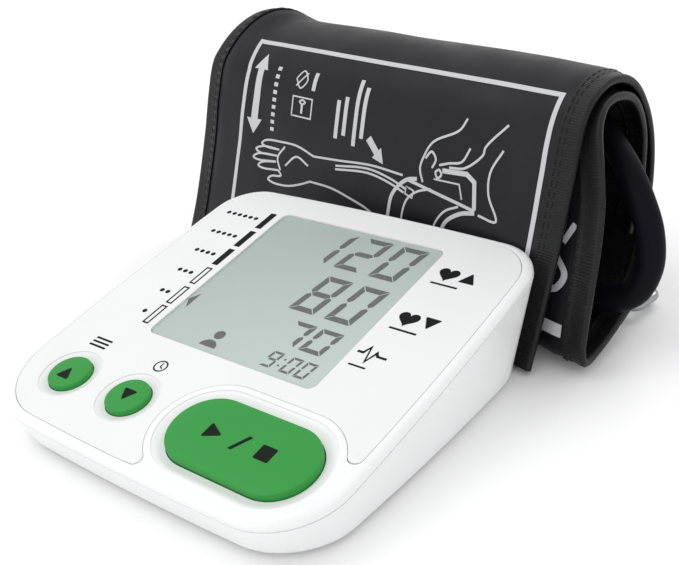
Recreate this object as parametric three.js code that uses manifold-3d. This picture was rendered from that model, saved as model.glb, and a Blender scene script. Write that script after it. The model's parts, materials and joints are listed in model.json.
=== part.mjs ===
// Upper arm blood pressure monitor: a slim wedge-shaped desk unit and its rolled arm cuff.
// Millimetres, +Z up, +X to the user's right, +Y away from the user. The unit is drawn with its
// origin on the table under the centre of the display; the last lines move the whole assembly so
// that its origin is the centre of its own footprint.
import * as THREE from 'three';
import { mergeVertices } from 'three/addons/utils/BufferGeometryUtils.js';
import Module from 'manifold-3d';

const wasm = await Module();
wasm.setup();

const degrees = Math.PI / 180;

// ---- driving dimensions of the unit ----
const windowWidth = 61;        // visible display
const windowDepth = 64;
const windowRadius = 2.5;
const deckTilt = 10.4 * degrees;
const deckHeight = 27.1;       // top face above the table at the display's centre
const lidDepth = 3.6;          // top face to the parting line
const wall = 2;
const gap = 0.3;               // running gap between touching pieces
const footHeight = 1;
const floorThickness = 1.8;
const floorTop = footHeight + floorThickness;
const faceThickness = 1.1;
const lidPlateTop = -faceThickness - gap;
const lidPlateBottom = -3;
const rimInset = 2;          // rim edge to the flat top face
const lidOutline = { halfWidth: 57.8, front: -72.8, back: 41.8, frontRadius: 19, backRadius: 12.5, bow: 1.5 };
const baseOutline = { halfWidth: 55.4, front: -68, back: 33, frontRadius: 18, backRadius: 13, bow: 1.5 };

// ---- controls, in deck coordinates ----
const roundButtonRadius = 6.9;
const roundButtons = { mem_button: [-38.5, -55], set_button: [-14.6, -54.8] };
const startCentre = [26.6, -54.7];
const startHalfLength = 23.1;
const startHalfDepth = 11.75;
const startWell = 5;           // button edge to the seam of the face panel
const panelStop = [9.6, -44.7];  // where the face panel ends beside the well
const buttonGap = 0.4;
const flangeWidth = 1.2;
const flangeTop = lidPlateBottom - gap;
const flangeBottom = flangeTop - 0.9;
const boardTop = -6.3;
const boardThickness = 1.2;

// ---- batteries ----
const cellRadius = 5.15;
const cellLength = 43.4;
const nubLength = 1;
const bay = { left: -52.5, right: 39.5, front: 0.8, back: 23.4, top: 13.6 };
const bayWall = 0.8;
const rowY = [6.5, 17.7];
const cellZ = floorTop + cellRadius;

// ---- cuff ----
const cuffWidth = 150;
const cuffYaw = -8 * degrees;
const cuffPlace = [-15, 44.3];
const hoseDiameter = 8;

// ---------------------------------------------------------------- helpers
const white = { color: 0xf4f4f4, roughness: 0.3, metalness: 0 };
const green = { color: 0x33a047, roughness: 0.35, metalness: 0 };
const steel = { color: 0xc9ccd0, roughness: 0.25, metalness: 1 };
const black = { color: 0x2c2c30, roughness: 0.6, metalness: 0 };
const rubber = { color: 0x16171c, roughness: 0.7, metalness: 0 };
const silicone = { color: 0xe9ebe8, roughness: 0.55, metalness: 0 };
const brass = { color: 0xd9c98a, roughness: 0.5, metalness: 0 };
const cellGrey = { color: 0x3a3f45, roughness: 0.35, metalness: 0.3 };

function named(name, geometry, material) {
  const mesh = new THREE.Mesh(geometry, new THREE.MeshStandardMaterial(material));
  mesh.name = name;
  return mesh;
}

function solid(geometry, position = [0, 0, 0], rotation = [0, 0, 0]) {
  let plain = geometry.clone();
  plain.deleteAttribute('normal');
  plain.deleteAttribute('uv');
  plain = mergeVertices(plain, 1e-4);
  const place = new THREE.Matrix4().makeRotationFromEuler(new THREE.Euler(...rotation));
  plain.applyMatrix4(place.setPosition(...position));
  const vertProperties = new Float32Array(plain.attributes.position.array);
  const triVerts = new Uint32Array(plain.index.array);
  return new wasm.Manifold(new wasm.Mesh({ numProp: 3, vertProperties, triVerts }));
}

function geometryOf(manifold) {
  const mesh = manifold.getMesh();
  const geometry = new THREE.BufferGeometry();
  geometry.setAttribute('position', new THREE.BufferAttribute(new Float32Array(mesh.vertProperties), 3));
  geometry.setIndex(new THREE.BufferAttribute(new Uint32Array(mesh.triVerts), 1));
  return geometry;
}

const box = (x, y, z) => new THREE.BoxGeometry(x, y, z);

// A box between two corners, as a solid.
function block(low, high) {
  const size = high.map((value, i) => value - low[i]);
  return solid(box(...size), low.map((value, i) => value + size[i] / 2));
}

// A cylinder standing on z = bottom.
function post(radius, bottom, top, x, y, sides = 12) {
  const geometry = new THREE.CylinderGeometry(radius, radius, top - bottom, sides);
  return solid(geometry, [x, y, (bottom + top) / 2], [Math.PI / 2, 0, 0]);
}

// A cylinder lying along X or Y.
function rod(radius, from, to, sides = 12) {
  const start = new THREE.Vector3(...from);
  const end = new THREE.Vector3(...to);
  const geometry = new THREE.CylinderGeometry(radius, radius, start.distanceTo(end), sides);
  const turn = Math.abs(end.x - start.x) > 0.01 ? [0, 0, Math.PI / 2] : [0, 0, 0];
  return solid(geometry, start.add(end).multiplyScalar(0.5).toArray(), turn);
}

function extrude(shape, bottom, top, curveSegments = 6) {
  const options = { depth: top - bottom, bevelEnabled: false, curveSegments };
  const geometry = new THREE.ExtrudeGeometry(shape, options);
  return geometry.translate(0, 0, bottom);
}

// Rounded rectangle about a centre; with radius = halfY it is a stadium.
function roundedShape(cx, cy, halfX, halfY, radius) {
  const shape = new THREE.Shape();
  shape.absarc(cx + halfX - radius, cy + halfY - radius, radius, 0, Math.PI / 2);
  shape.absarc(cx - halfX + radius, cy + halfY - radius, radius, Math.PI / 2, Math.PI);
  shape.absarc(cx - halfX + radius, cy - halfY + radius, radius, Math.PI, 1.5 * Math.PI);
  shape.absarc(cx + halfX - radius, cy - halfY + radius, radius, 1.5 * Math.PI, 2 * Math.PI);
  shape.closePath();
  return shape;
}

const windowShape = (grow) => roundedShape(
  0, 0, windowWidth / 2 + grow, windowDepth / 2 + grow, windowRadius + grow / 2);

const startShape = (grow) => roundedShape(
  ...startCentre, startHalfLength + grow, startHalfDepth + grow, startHalfDepth + grow - 0.01);

// Outline of the unit in plan: a rounded rectangle whose four sides bow outwards.
function outline({ halfWidth, front, back, frontRadius, backRadius, bow }, inset = 0) {
  const w = halfWidth - inset;
  const y0 = front + inset;
  const y1 = back - inset;
  const corners = [
    [w - backRadius, y1 - backRadius, backRadius, 0],
    [-w + backRadius, y1 - backRadius, backRadius, 90],
    [-w + frontRadius, y0 + frontRadius, frontRadius, 180],
    [w - frontRadius, y0 + frontRadius, frontRadius, 270],
  ];
  const cornerSteps = 6;
  const sideSteps = 3;
  const rough = [];
  for (const [k, [cx, cy, radius, start]] of corners.entries()) {
    for (let i = 0; i <= cornerSteps; i++) {
      const angle = (start + (90 * i) / cornerSteps) * degrees;
      rough.push(new THREE.Vector2(cx + radius * Math.cos(angle), cy + radius * Math.sin(angle)));
    }
    const [nx, ny, nextRadius, nextStart] = corners[(k + 1) % 4];
    const side = new THREE.Vector2(Math.cos(nextStart * degrees), Math.sin(nextStart * degrees));
    const from = rough[rough.length - 1].clone();
    const to = side.multiplyScalar(nextRadius).add(new THREE.Vector2(nx, ny));
    for (let i = 1; i < sideSteps; i++) {
      rough.push(from.clone().lerp(to, i / sideSteps));
    }
  }
  const middle = (y0 + y1) / 2;
  const half = (y1 - y0) / 2;
  return rough.map(({ x, y }) => {
    const across = x / w;
    const along = (y - middle) / half;
    return new THREE.Vector2(x + across * bow * (1 - along ** 2), y + along * bow * (1 - across ** 2));
  });
}

// Deck coordinates (x, v up the slope, w above the face) to the unit's own.
const deckPoint = (x, v, w) => new THREE.Vector3(
  x, v * Math.cos(deckTilt) - w * Math.sin(deckTilt),
  deckHeight + v * Math.sin(deckTilt) + w * Math.cos(deckTilt));
const deckRing = (w, inset) => outline(lidOutline, inset).map((p) => deckPoint(p.x, p.y, w));
const flatRing = (z, inset) => outline(baseOutline, inset).map((p) => new THREE.Vector3(p.x, p.y, z));
const blend = (a, b, t) => a.map((p, i) => p.clone().lerp(b[i], t));

function pointGeometry(points, index) {
  const geometry = new THREE.BufferGeometry();
  const numbers = points.flatMap((p) => [p.x, p.y, p.z]);
  geometry.setAttribute('position', new THREE.Float32BufferAttribute(numbers, 3));
  geometry.setIndex(index);
  return geometry;
}

// Closed solid through a stack of rings with equal point counts, capped at both ends.
function loft(rings) {
  const count = rings[0].length;
  const index = [];
  for (let r = 0; r < rings.length - 1; r++) {
    for (let i = 0; i < count; i++) {
      const a = r * count + i;
      const b = r * count + ((i + 1) % count);
      index.push(a, b, b + count, a, b + count, a + count);
    }
  }
  const last = (rings.length - 1) * count;
  for (const [i, j, k] of THREE.ShapeUtils.triangulateShape(rings[0], [])) {
    index.push(k, j, i);
  }
  for (const [i, j, k] of THREE.ShapeUtils.triangulateShape(rings[rings.length - 1], [])) {
    index.push(last + i, last + j, last + k);
  }
  return pointGeometry(rings.flat(), index);
}

const deckTransform = [[0, 0, deckHeight], [deckTilt, 0, 0]];
const onDeck = (geometry) => solid(geometry, ...deckTransform);

// ---------------------------------------------------------------- the unit's shells
const screwPlaces = [[-51.2, -36], [51.2, -36], [-51.2, -14], [51.2, -14]];
const footPlaces = [[-41, -56], [41, -56], [-41, 27.3], [41, 27.3]];
const footRadius = 2.9;
const socket = { y: -25, z: 9, outer: 4.6, bore: 3.2 };
const jack = { y: -5.4, z: 7.8, half: 4 };
const plateHeight = (y) => deckPoint(0, y / Math.cos(deckTilt), lidPlateBottom).z;
const bossBottom = (y) => plateHeight(y) - 4;

function faceOutline(grow) {
  const plan = new THREE.Shape(outline(lidOutline, rimInset + gap - grow));
  const panel = solid(extrude(plan, lidPlateTop + gap - grow, grow ? 2 : 0));
  const well = solid(extrude(startShape(startWell - grow), -4, 4));
  const [stopX, stopV] = panelStop;
  const corner = block([stopX - gap + grow, -90, -4], [90, stopV + gap - grow, 4]);
  return panel.subtract(well).subtract(corner);
}

function buttonHoles(grow, bottom, top) {
  let holes = solid(extrude(startShape(buttonGap + grow), bottom, top));
  for (const [x, v] of Object.values(roundButtons)) {
    holes = holes.add(post(roundButtonRadius + buttonGap + grow, bottom, top, x, v, 20));
  }
  return holes;
}

function bottomHousing() {
  const parting = -lidDepth - gap;
  const outer = [flatRing(footHeight, 3), flatRing(footHeight + 0.7, 1.2), flatRing(footHeight + 2, 0)];
  const rim = deckRing(parting, 0);
  const inner = deckRing(parting, wall);
  const floorRing = flatRing(floorTop, wall + 1.4);
  const swell = blend(outer[2], rim, 0.5);
  let shell = solid(loft([...outer, swell, rim, inner, blend(inner, floorRing, 0.5), floorRing]));
  shell = shell.add(block([bay.left - bayWall, bay.front - bayWall, floorTop - 1],
    [bay.right + bayWall, bay.back + bayWall, bay.top + bayWall]));
  shell = shell.subtract(block([bay.left, bay.front, -1], [bay.right, bay.back, bay.top]));
  for (const [x, y] of screwPlaces) {
    shell = shell.add(post(2.8, footHeight + 1, bossBottom(y) - gap, x, y));
    shell = shell.subtract(post(1.6, 0, 30, x, y));
    shell = shell.subtract(post(2.7, 0, footHeight + 1.5, x, y));
  }
  for (const [x, y] of footPlaces) {
    shell = shell.subtract(post(footRadius + gap, 0, footHeight + 0.8, x, y));
  }
  shell = shell.subtract(rod(socket.outer + gap, [-66, socket.y, socket.z], [-50, socket.y, socket.z], 16));
  return shell.subtract(rod(3.1, [-66, jack.y, jack.z], [-52, jack.y, jack.z], 16));
}

function topHousing() {
  const rings = [deckRing(-lidDepth, 0), deckRing(-2.1, 0.1), deckRing(-0.9, 0.6), deckRing(-0.2, 1.5),
    deckRing(0, rimInset)];
  const hollow = loft([deckRing(-lidDepth - 1, wall), deckRing(lidPlateBottom, wall)]);
  let lid = solid(loft(rings)).subtract(solid(hollow));
  for (const [x, y] of screwPlaces) {
    lid = lid.add(post(2.8, bossBottom(y), plateHeight(y) + 0.8, x, y));
    lid = lid.subtract(post(1.35, bossBottom(y) - 1, plateHeight(y) - 0.2, x, y));
  }
  const recess = faceOutline(gap);
  const opening = solid(extrude(windowShape(2 * gap), -6, 2, 3));
  const cuts = recess.add(opening).add(buttonHoles(0, -6, 3));
  return lid.subtract(cuts.rotate([deckTilt / degrees, 0, 0]).translate([0, 0, deckHeight]));
}

function facePanel() {
  const opening = solid(extrude(windowShape(gap), -4, 2, 3));
  return faceOutline(0).subtract(opening).subtract(buttonHoles(0, -4, 2));
}

// ---------------------------------------------------------------- display, board and buttons
function deckPlate(x, v, width, depth, bottom, top, radius = 1) {
  return extrude(roundedShape(x, v, width / 2, depth / 2, radius), bottom, top, 3);
}

function roundButton() {
  const r = roundButtonRadius;
  const profile = [[0, flangeBottom], [r + flangeWidth, flangeBottom], [r + flangeWidth, flangeTop],
    [r, flangeTop], [r, 0.4], [r - 0.5, 0.9], [r * 0.6, 1.15], [0, 1.25]];
  const geometry = new THREE.LatheGeometry(profile.map(([x, y]) => new THREE.Vector2(x, y)), 20);
  return solid(geometry, [0, 0, 0], [Math.PI / 2, 0, 0]);
}

function startButton() {
  const key = solid(extrude(startShape(0), flangeTop - 0.2, 0.7));
  const crown = solid(extrude(startShape(-0.6), 0.5, 1.2));
  return key.add(crown).add(solid(extrude(startShape(flangeWidth), flangeBottom, flangeTop)));
}

function circuitBoard() {
  const board = new THREE.Shape();
  const corners = [[-46, -61], [46, -61], [46, -30], [34, -30], [34, 35], [-34, 35], [-34, -30], [-46, -30]];
  board.setFromPoints(corners.map(([x, y]) => new THREE.Vector2(x, y)));
  return extrude(board, boardTop - boardThickness, boardTop);
}

function deck() {
  const group = new THREE.Group();
  group.position.set(0, 0, deckHeight);
  group.rotation.x = deckTilt;
  group.add(named('face_panel', geometryOf(facePanel()), white));
  const lens = deckPlate(0, 0, windowWidth, windowDepth, -faceThickness, -0.3, 2.5);
  group.add(named('display_lens', lens, { color: 0xdde6e3, roughness: 0.1, metalness: 0 }));
  const glass = deckPlate(0, 0, windowWidth + 0.4, windowDepth + 0.4, -3.7, -1.5, windowRadius);
  group.add(named('lcd_panel', glass, { color: 0xb9c6c1, roughness: 0.3, metalness: 0 }));
  group.add(named('lcd_backlight', deckPlate(0, 2, 62, 60, -5.9, -4), white));
  const strip = deckPlate(0, -30.2, 54, 1.8, -6, -4, 0.3);
  group.add(named('contact_strip', strip, { color: 0xd88a96, roughness: 0.6, metalness: 0 }));
  group.add(named('circuit_board', circuitBoard(), { color: 0x1f6b3c, roughness: 0.5, metalness: 0 }));
  const chip = deckPlate(-22, -38.5, 8, 8, boardTop + gap, boardTop + 1.6, 0.3);
  group.add(named('controller_chip', chip, black));
  for (const [name, [x, v]] of Object.entries(roundButtons)) {
    const button = named(name, geometryOf(roundButton()), green);
    button.position.set(x, v, 0);
    group.add(button);
  }
  group.add(named('start_button', geometryOf(startButton()), green));
  const domes = {
    start_switch: startCentre,
    mem_switch: roundButtons.mem_button,
    set_switch: roundButtons.set_button,
  };
  for (const [name, [x, v]] of Object.entries(domes)) {
    const dome = post(2.5, boardTop + gap, boardTop + 1, x, v);
    group.add(named(name, geometryOf(dome), steel));
  }
  return group;
}

// ---------------------------------------------------------------- air system inside the unit
const pump = { x: 46.8, z: 9.8, radius: 6, front: -10, split: 2, back: 17 };
const tee = [-24, -22, 7.5];
const valvePortY = -6;
const valve = { low: [-43.5, -11.5, floorTop + gap], high: [-33.5, -2, 11.6] };
const tubeRadius = 1.7;
const spigotRadius = 1.3;

function pumpMotor() {
  const can = rod(pump.radius, [pump.x, pump.split + gap, pump.z], [pump.x, pump.back, pump.z], 18);
  return can.subtract(rod(1.3, [pump.x, pump.split - 1, pump.z], [pump.x, pump.back + 1, pump.z]));
}

function pumpHead() {
  const r = pump.radius;
  const head = block([pump.x - r, pump.front, pump.z - r], [pump.x + r, pump.split, pump.z + r]);
  const [x, z] = [pump.x - 3.5, pump.z - 2.8];
  const nozzle = rod(spigotRadius, [x, pump.front - 3.5, z], [x, pump.front + 1, z]);
  const chamber = rod(4.4, [pump.x, pump.split - 7, pump.z], [pump.x, pump.split + 1, pump.z], 20);
  return head.subtract(chamber).add(nozzle);
}

function pumpShaft() {
  const shaft = rod(1, [pump.x, pump.split - 5.5, pump.z], [pump.x, pump.back + 1.2, pump.z], 12);
  const crank = rod(2.6, [pump.x + 1, pump.split - 5.5, pump.z], [pump.x + 1, pump.split - 2, pump.z], 16);
  return shaft.add(crank);
}

function airSocket() {
  const { y, z, outer, bore } = socket;
  const barrel = rod(outer, [-58.3, y, z], [-49, y, z], 16);
  const spigot = rod(spigotRadius, [-50, y, z], [-45.5, y, z]);
  return barrel.add(spigot).subtract(rod(bore, [-60, y, z], [-50.4, y, z], 16));
}

function powerJack() {
  const { y, z, half } = jack;
  const body = block([-52.2, y - half, z - half], [-44.2, y + half, z + half]);
  const bored = body.subtract(rod(2.8, [-60, y, z], [-45.2, y, z], 16));
  return bored.add(rod(0.9, [-51.5, y, z], [-45, y, z], 8));
}

function valveBody() {
  const [x0, , z0] = valve.low;
  const [x1, , z1] = valve.high;
  const x = (x0 + x1) / 2;
  const z = (z0 + z1) / 2;
  const port = rod(spigotRadius, [x1 - 1, valvePortY, tee[2]], [x1 + 2.5, valvePortY, tee[2]]);
  return block(valve.low, valve.high).add(port).subtract(rod(1.4, [x, -14, z], [x, -6.5, z]));
}

function valvePlunger() {
  const x = (valve.low[0] + valve.high[0]) / 2;
  const z = (valve.low[2] + valve.high[2]) / 2;
  return rod(1, [x, valve.low[1] - 2, z], [x, -8, z], 12);
}

function teeFitting() {
  const [x, y, z] = tee;
  const across = rod(spigotRadius, [x - 4, y, z], [x + 4, y, z]);
  return across.add(rod(spigotRadius, [x, y - 4, z], [x, y + 4, z]));
}

// A soft tube between two spigots, leaving and reaching each in line with it.
function tube(from, leaving, via, to, arriving) {
  const start = new THREE.Vector3(...from);
  const end = new THREE.Vector3(...to);
  const lead = new THREE.Vector3(...leaving).multiplyScalar(2);
  const tail = new THREE.Vector3(...arriving).multiplyScalar(-2);
  const middle = via.map((p) => new THREE.Vector3(...p));
  const points = [start, start.clone().add(lead), ...middle, end.clone().add(tail), end];
  const path = new THREE.CatmullRomCurve3(points, false, 'centripetal');
  const section = new THREE.Shape().absarc(0, 0, tubeRadius, 0, 2 * Math.PI);
  const steps = Math.ceil(path.getLength() / 4) + 2;
  const options = { steps, extrudePath: path, curveSegments: 4, bevelEnabled: false };
  return new THREE.ExtrudeGeometry(section, options);
}

function airSystem() {
  const group = new THREE.Group();
  const [x, y, z] = tee;
  const nozzle = [pump.x - 3.5, pump.front - 3.9, pump.z - 2.8];
  group.add(named('pump_motor', geometryOf(pumpMotor()), steel));
  group.add(named('pump_head', geometryOf(pumpHead()), black));
  group.add(named('pump_shaft', geometryOf(pumpShaft()), steel));
  group.add(named('air_socket', geometryOf(airSocket()), white));
  group.add(named('power_jack', geometryOf(powerJack()), black));
  group.add(named('release_valve', geometryOf(valveBody()), brass));
  group.add(named('valve_plunger', geometryOf(valvePlunger()), steel));
  group.add(named('tee_fitting', geometryOf(teeFitting()), silicone));
  const right = [1, 0, 0];
  const left = [-1, 0, 0];
  const back = [0, 1, 0];
  const front = [0, -0.5, 0];
  const reach = 4.4;
  const toPump = tube([x + reach, y, z], right, [[x + 30, y - 1, z], [x + 58, y - 0.5, z]], nozzle, back);
  group.add(named('pump_tube', toPump, silicone));
  const inlet = [-45.1, socket.y, socket.z];
  const toSocket = tube([x - reach, y, z], left, [[x - 12, y - 1.5, z + 0.7]], inlet, left);
  group.add(named('socket_tube', toSocket, silicone));
  const port = [valve.high[0] + 2.9, valvePortY, z];
  const toValve = tube([x, y + reach, z], back, [[x - 1.4, y + 13.6, z]], port, left);
  group.add(named('valve_tube', toValve, silicone));
  const sensorBody = block([x - 3, -38, 5.4], [x + 3, -32.4, 7.6]);
  const sensor = sensorBody.add(rod(1.2, [x, -33, 6.6], [x, -30.4, 6.6]));
  group.add(named('pressure_sensor', geometryOf(sensor), black));
  const toSensor = tube([x, y - reach, z], front, [], [x, -30, 6.6], front);
  group.add(named('sensor_tube', toSensor, silicone));
  group.add(named('buzzer', geometryOf(post(6, floorTop + gap, floorTop + 2.8, 4, -8)), black));
  return group;
}

// ---------------------------------------------------------------- batteries and base fittings
function cell() {
  const r = cellRadius;
  const profile = [[0, 0], [r - 0.3, 0], [r, 0.3], [r, cellLength - 0.4], [r - 0.4, cellLength],
    [1.9, cellLength], [1.9, cellLength + nubLength], [0, cellLength + nubLength]];
  const geometry = new THREE.LatheGeometry(profile.map(([x, y]) => new THREE.Vector2(x, y)), 14);
  return geometry.rotateZ(-Math.PI / 2);
}

// Contact plates with their springs or bumps, standing in the ends of the battery bay.
function contactPlate(x, side, y0, y1) {
  return block([Math.min(x, x + 0.4 * side), y0, cellZ - 4], [Math.max(x, x + 0.4 * side), y1, cellZ + 4]);
}

function powerSupply() {
  const group = new THREE.Group();
  const total = 2 * (cellLength + nubLength);
  const start = (bay.left + bay.right - total) / 2;
  for (const [row, y] of rowY.entries()) {
    for (const place of [0, 1]) {
      const battery = named(`battery_${2 * row + place + 1}`, cell(), cellGrey);
      const left = start - 0.1 + place * (cellLength + nubLength + 0.2);
      battery.position.set(row ? left + cellLength + nubLength : left, y, cellZ);
      battery.rotation.z = row ? Math.PI : 0;
      group.add(battery);
    }
  }
  const leftWall = bay.left + 0.3;
  const rightWall = bay.right - 0.3;
  const bridge = contactPlate(leftWall, 1, rowY[0] - 4, rowY[1] + 4);
  const plus = contactPlate(rightWall, -1, rowY[0] - 4, rowY[0] + 4);
  const minus = contactPlate(rightWall, -1, rowY[1] - 4, rowY[1] + 4);
  group.add(named('battery_bridge', geometryOf(bridge), steel));
  group.add(named('battery_contact_plus', geometryOf(plus), steel));
  group.add(named('battery_contact_minus', geometryOf(minus), steel));
  return group;
}

function batteryCover() {
  const inset = 0.4;
  const low = [bay.left + inset, bay.front + inset, footHeight];
  const high = [bay.right - inset, bay.back - inset, footHeight + 1.4];
  const middle = (bay.left + bay.right) / 2;
  const gripLow = [middle - 8, bay.back - 5.5, footHeight - 0.4];
  const gripHigh = [middle + 8, bay.back - 2.5, footHeight + 0.6];
  return block(low, high).subtract(block(gripLow, gripHigh));
}

function screw(y) {
  const head = post(2.4, footHeight + 0.3, footHeight + 1.4, 0, 0);
  const drive = block([-1.5, -0.3, 0], [1.5, 0.3, footHeight + 0.9]);
  const shank = post(1.2, footHeight + 1.2, bossBottom(y) + 3, 0, 0, 12);
  return head.add(shank).subtract(drive).subtract(drive.rotate([0, 0, 90]));
}

function baseFittings() {
  const group = new THREE.Group();
  group.add(named('battery_cover', geometryOf(batteryCover()), white));
  for (const [i, [x, y]] of screwPlaces.entries()) {
    const mesh = named(`case_screw_${i + 1}`, geometryOf(screw(y)), steel);
    mesh.position.set(x, y, 0);
    group.add(mesh);
  }
  for (const [i, [x, y]] of footPlaces.entries()) {
    group.add(named(`foot_${i + 1}`, geometryOf(post(footRadius, 0, footHeight + 0.5, x, y)), rubber));
  }
  return group;
}

// ---------------------------------------------------------------- the rolled cuff
// Centre line of the rolled cloth, seen from its right end: (y, z) from the free front edge, up,
// over the top, down the back, round the bottom fold and up again as the inner turn.
const rollPoints = [
  [0.5, 1.6], [4, 12], [8, 26], [11.5, 40.1], [14.6, 54.2], [18.4, 65.7], [25.5, 73.7], [35.5, 77.1],
  [46, 75.3], [54.8, 68.8], [59.9, 58.7], [61.4, 45.2], [59.4, 31.1], [54, 20], [46.5, 13], [38.5, 10],
  [31, 7.6], [24, 5.4], [18.5, 4.2], [14, 3.8], [11.2, 5], [10.3, 8.4], [11.2, 13], [13, 19.5],
  [15.8, 29], [18.9, 40.1], [21.8, 54.2], [25, 63.5], [31.3, 69], [38.5, 70.4], [46.6, 68.3],
  [52.9, 60.2], [54.7, 48.2], [53.4, 36], [50.4, 27],
];
const rollPath = new THREE.CatmullRomCurve3(
  rollPoints.map(([y, z]) => new THREE.Vector3(0, y, z)),
  false,
  'centripetal',
);
const clothEdge = cuffWidth / 2;
const clothHalf = 1.9;
const tapeHalf = 2.9;
const tapeWidth = 5.5;
const rollSteps = 62;

// The turns do not lie quite over each other: how far each end of the cloth stands out past its even
// width, against the fraction of the way along the roll.
const leftStandOut = [[0, 16], [0.12, 10], [0.2, 6], [0.28, -2], [1, -2]];
const rightStandOut = [[0, -2], [0.24, 0], [0.42, 1], [0.52, 7], [0.62, 11], [0.7, 8], [0.82, 2], [1, 0]];

function standOut(table, fraction) {
  const next = table.findIndex(([at]) => at >= fraction);
  if (next <= 0) {
    return table[0][1];
  }
  const [[from, before], [to, after]] = [table[next - 1], table[next]];
  return before + ((after - before) * (fraction - from)) / (to - from);
}

function spreadAcross(x, fraction) {
  const table = x < 0 ? leftStandOut : rightStandOut;
  return x * (1 + standOut(table, fraction) / clothEdge);
}

// Sweeps a closed section, given as (x, height off the centre line), between two steps of the roll.
function alongRoll(section, first = 0, last = rollSteps) {
  const rings = [];
  for (let step = first; step <= last; step++) {
    const fraction = step / rollSteps;
    const centre = rollPath.getPointAt(fraction);
    const along = rollPath.getTangentAt(fraction);
    rings.push(section.map(([x, off]) => {
      const across = spreadAcross(x, fraction);
      return new THREE.Vector3(across, centre.y - along.z * off, centre.z + along.y * off);
    }));
  }
  return sweepRings(rings, section.map(([x, off]) => new THREE.Vector2(x, off)));
}

function sweepRings(rings, section) {
  const count = section.length;
  const index = [];
  for (let r = 0; r < rings.length - 1; r++) {
    for (let i = 0; i < count; i++) {
      const a = r * count + i;
      const b = r * count + ((i + 1) % count);
      index.push(a, b + count, b, a, a + count, b + count);
    }
  }
  const last = (rings.length - 1) * count;
  for (const [i, j, k] of THREE.ShapeUtils.triangulateShape(section, [])) {
    index.push(i, j, k, last + k, last + j, last + i);
  }
  return pointGeometry(rings.flat(), index);
}

const layer = (x0, x1, low, high) => [[x0, low], [x1, low], [x1, high], [x0, high]];

// Folded tape over a cut edge: a U-shaped section, mirrored for the left end.
function tapeSection(side) {
  const inner = clothEdge - tapeWidth;
  const outer = clothEdge + 1.1;
  const leg = clothHalf + gap;
  const half = [[inner, -tapeHalf], [outer, -tapeHalf], [outer, tapeHalf], [inner, tapeHalf], [inner, leg],
    [clothEdge + gap, leg], [clothEdge + gap, -leg], [inner, -leg]];
  const points = half.map(([x, off]) => [x * side, off]);
  return side > 0 ? points : points.reverse();
}

// Oblong ring of round bar, hinged on its front long side, which lies in the cuff's sewn loop.
const ring = { y: 40, z: 3.6, depth: 16, halfLength: 82, bar: 1.7, corner: 5, sides: 6 };

function metalRing() {
  const stops = [];
  const [cx, cy] = [ring.halfLength - ring.corner, ring.depth - ring.corner];
  const corners = [[cx, cy, 0], [-cx, cy, 90], [-cx, ring.corner, 180], [cx, ring.corner, 270]];
  for (const [x, y, start] of corners) {
    for (let i = 0; i <= 4; i++) {
      const angle = (start + i * 22.5) * degrees;
      stops.push({ x, y, angle });
    }
  }
  const rings = stops.map(({ x, y, angle }) => [...Array(ring.sides).keys()].map((k) => {
    const turn = (k * 2 * Math.PI) / ring.sides;
    const reach = ring.corner + ring.bar * Math.cos(turn);
    const [dx, dy] = [reach * Math.cos(angle), reach * Math.sin(angle)];
    return new THREE.Vector3(x + dx, y + dy, ring.bar * Math.sin(turn));
  }));
  const count = ring.sides;
  const index = [];
  for (let r = 0; r < rings.length; r++) {
    const next = ((r + 1) % rings.length) * count;
    for (let i = 0; i < count; i++) {
      const a = r * count + i;
      const b = r * count + ((i + 1) % count);
      const [c, d] = [next + i, next + ((i + 1) % count)];
      index.push(a, c, d, a, d, b);
    }
  }
  return pointGeometry(rings.flat(), index).translate(0, ring.y, ring.z);
}

// The sewn loop that holds the ring's front bar: a sleeve round the bar with a tongue up to the roll.
function ringLoop() {
  const half = ring.halfLength - ring.corner - 18;
  const sleeve = rod(ring.bar + 1.5, [-half, ring.y, ring.z], [half, ring.y, ring.z], 20);
  const tongue = block([-half, ring.y - 0.6, ring.z + 2], [half, ring.y + 0.6, ring.z + 3.6]);
  return sleeve.add(tongue).subtract(rod(ring.bar + 0.3, [-90, ring.y, ring.z], [90, ring.y, ring.z], 20));
}

// Air hose, in the cuff's own frame: out along the roll, round in a bow past its right end, back
// along the bottom, up in a fold at the left end and along the top again to its plug.
const hosePoints = [
  [-44, 45, 60.8], [-30, 45, 60.9], [-6, 45, 60.9], [20, 45, 60.9], [46, 45, 60.8], [58, 44.4, 60.3],
  [66, 41.5, 59.1], [73, 37.3, 56.7], [80, 33.6, 52.1], [86, 31.2, 45], [90.2, 30, 36.1],
  [91.2, 28.8, 25.9], [88, 26.8, 17.9], [80, 25, 14.2], [68, 24.4, 13.8], [46, 24.4, 13.8],
  [20, 24.4, 13.8], [-6, 24.4, 13.8], [-30, 24.4, 13.8], [-45, 24.8, 14.1], [-57, 27, 17.3],
  [-65.9, 30.6, 25.5], [-69.1, 33.4, 36.7], [-65.9, 35.4, 48.5], [-57, 36.2, 56.7], [-45, 36.4, 59.7],
  [-30, 36.5, 60.1], [-6, 36.5, 60.1], [12, 36.5, 60.1], [30, 36.5, 60.1],
];
const hoseStart = hosePoints[0];
const hoseEnd = hosePoints[hosePoints.length - 1];

function hose() {
  const points = hosePoints.map((p) => new THREE.Vector3(...p));
  const path = new THREE.CatmullRomCurve3(points, false, 'centripetal');
  const section = new THREE.Shape().absarc(0, 0, hoseDiameter / 2, 0, 2 * Math.PI);
  const options = { steps: 44, extrudePath: path, curveSegments: 5, bevelEnabled: false };
  return new THREE.ExtrudeGeometry(section, options);
}

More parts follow.
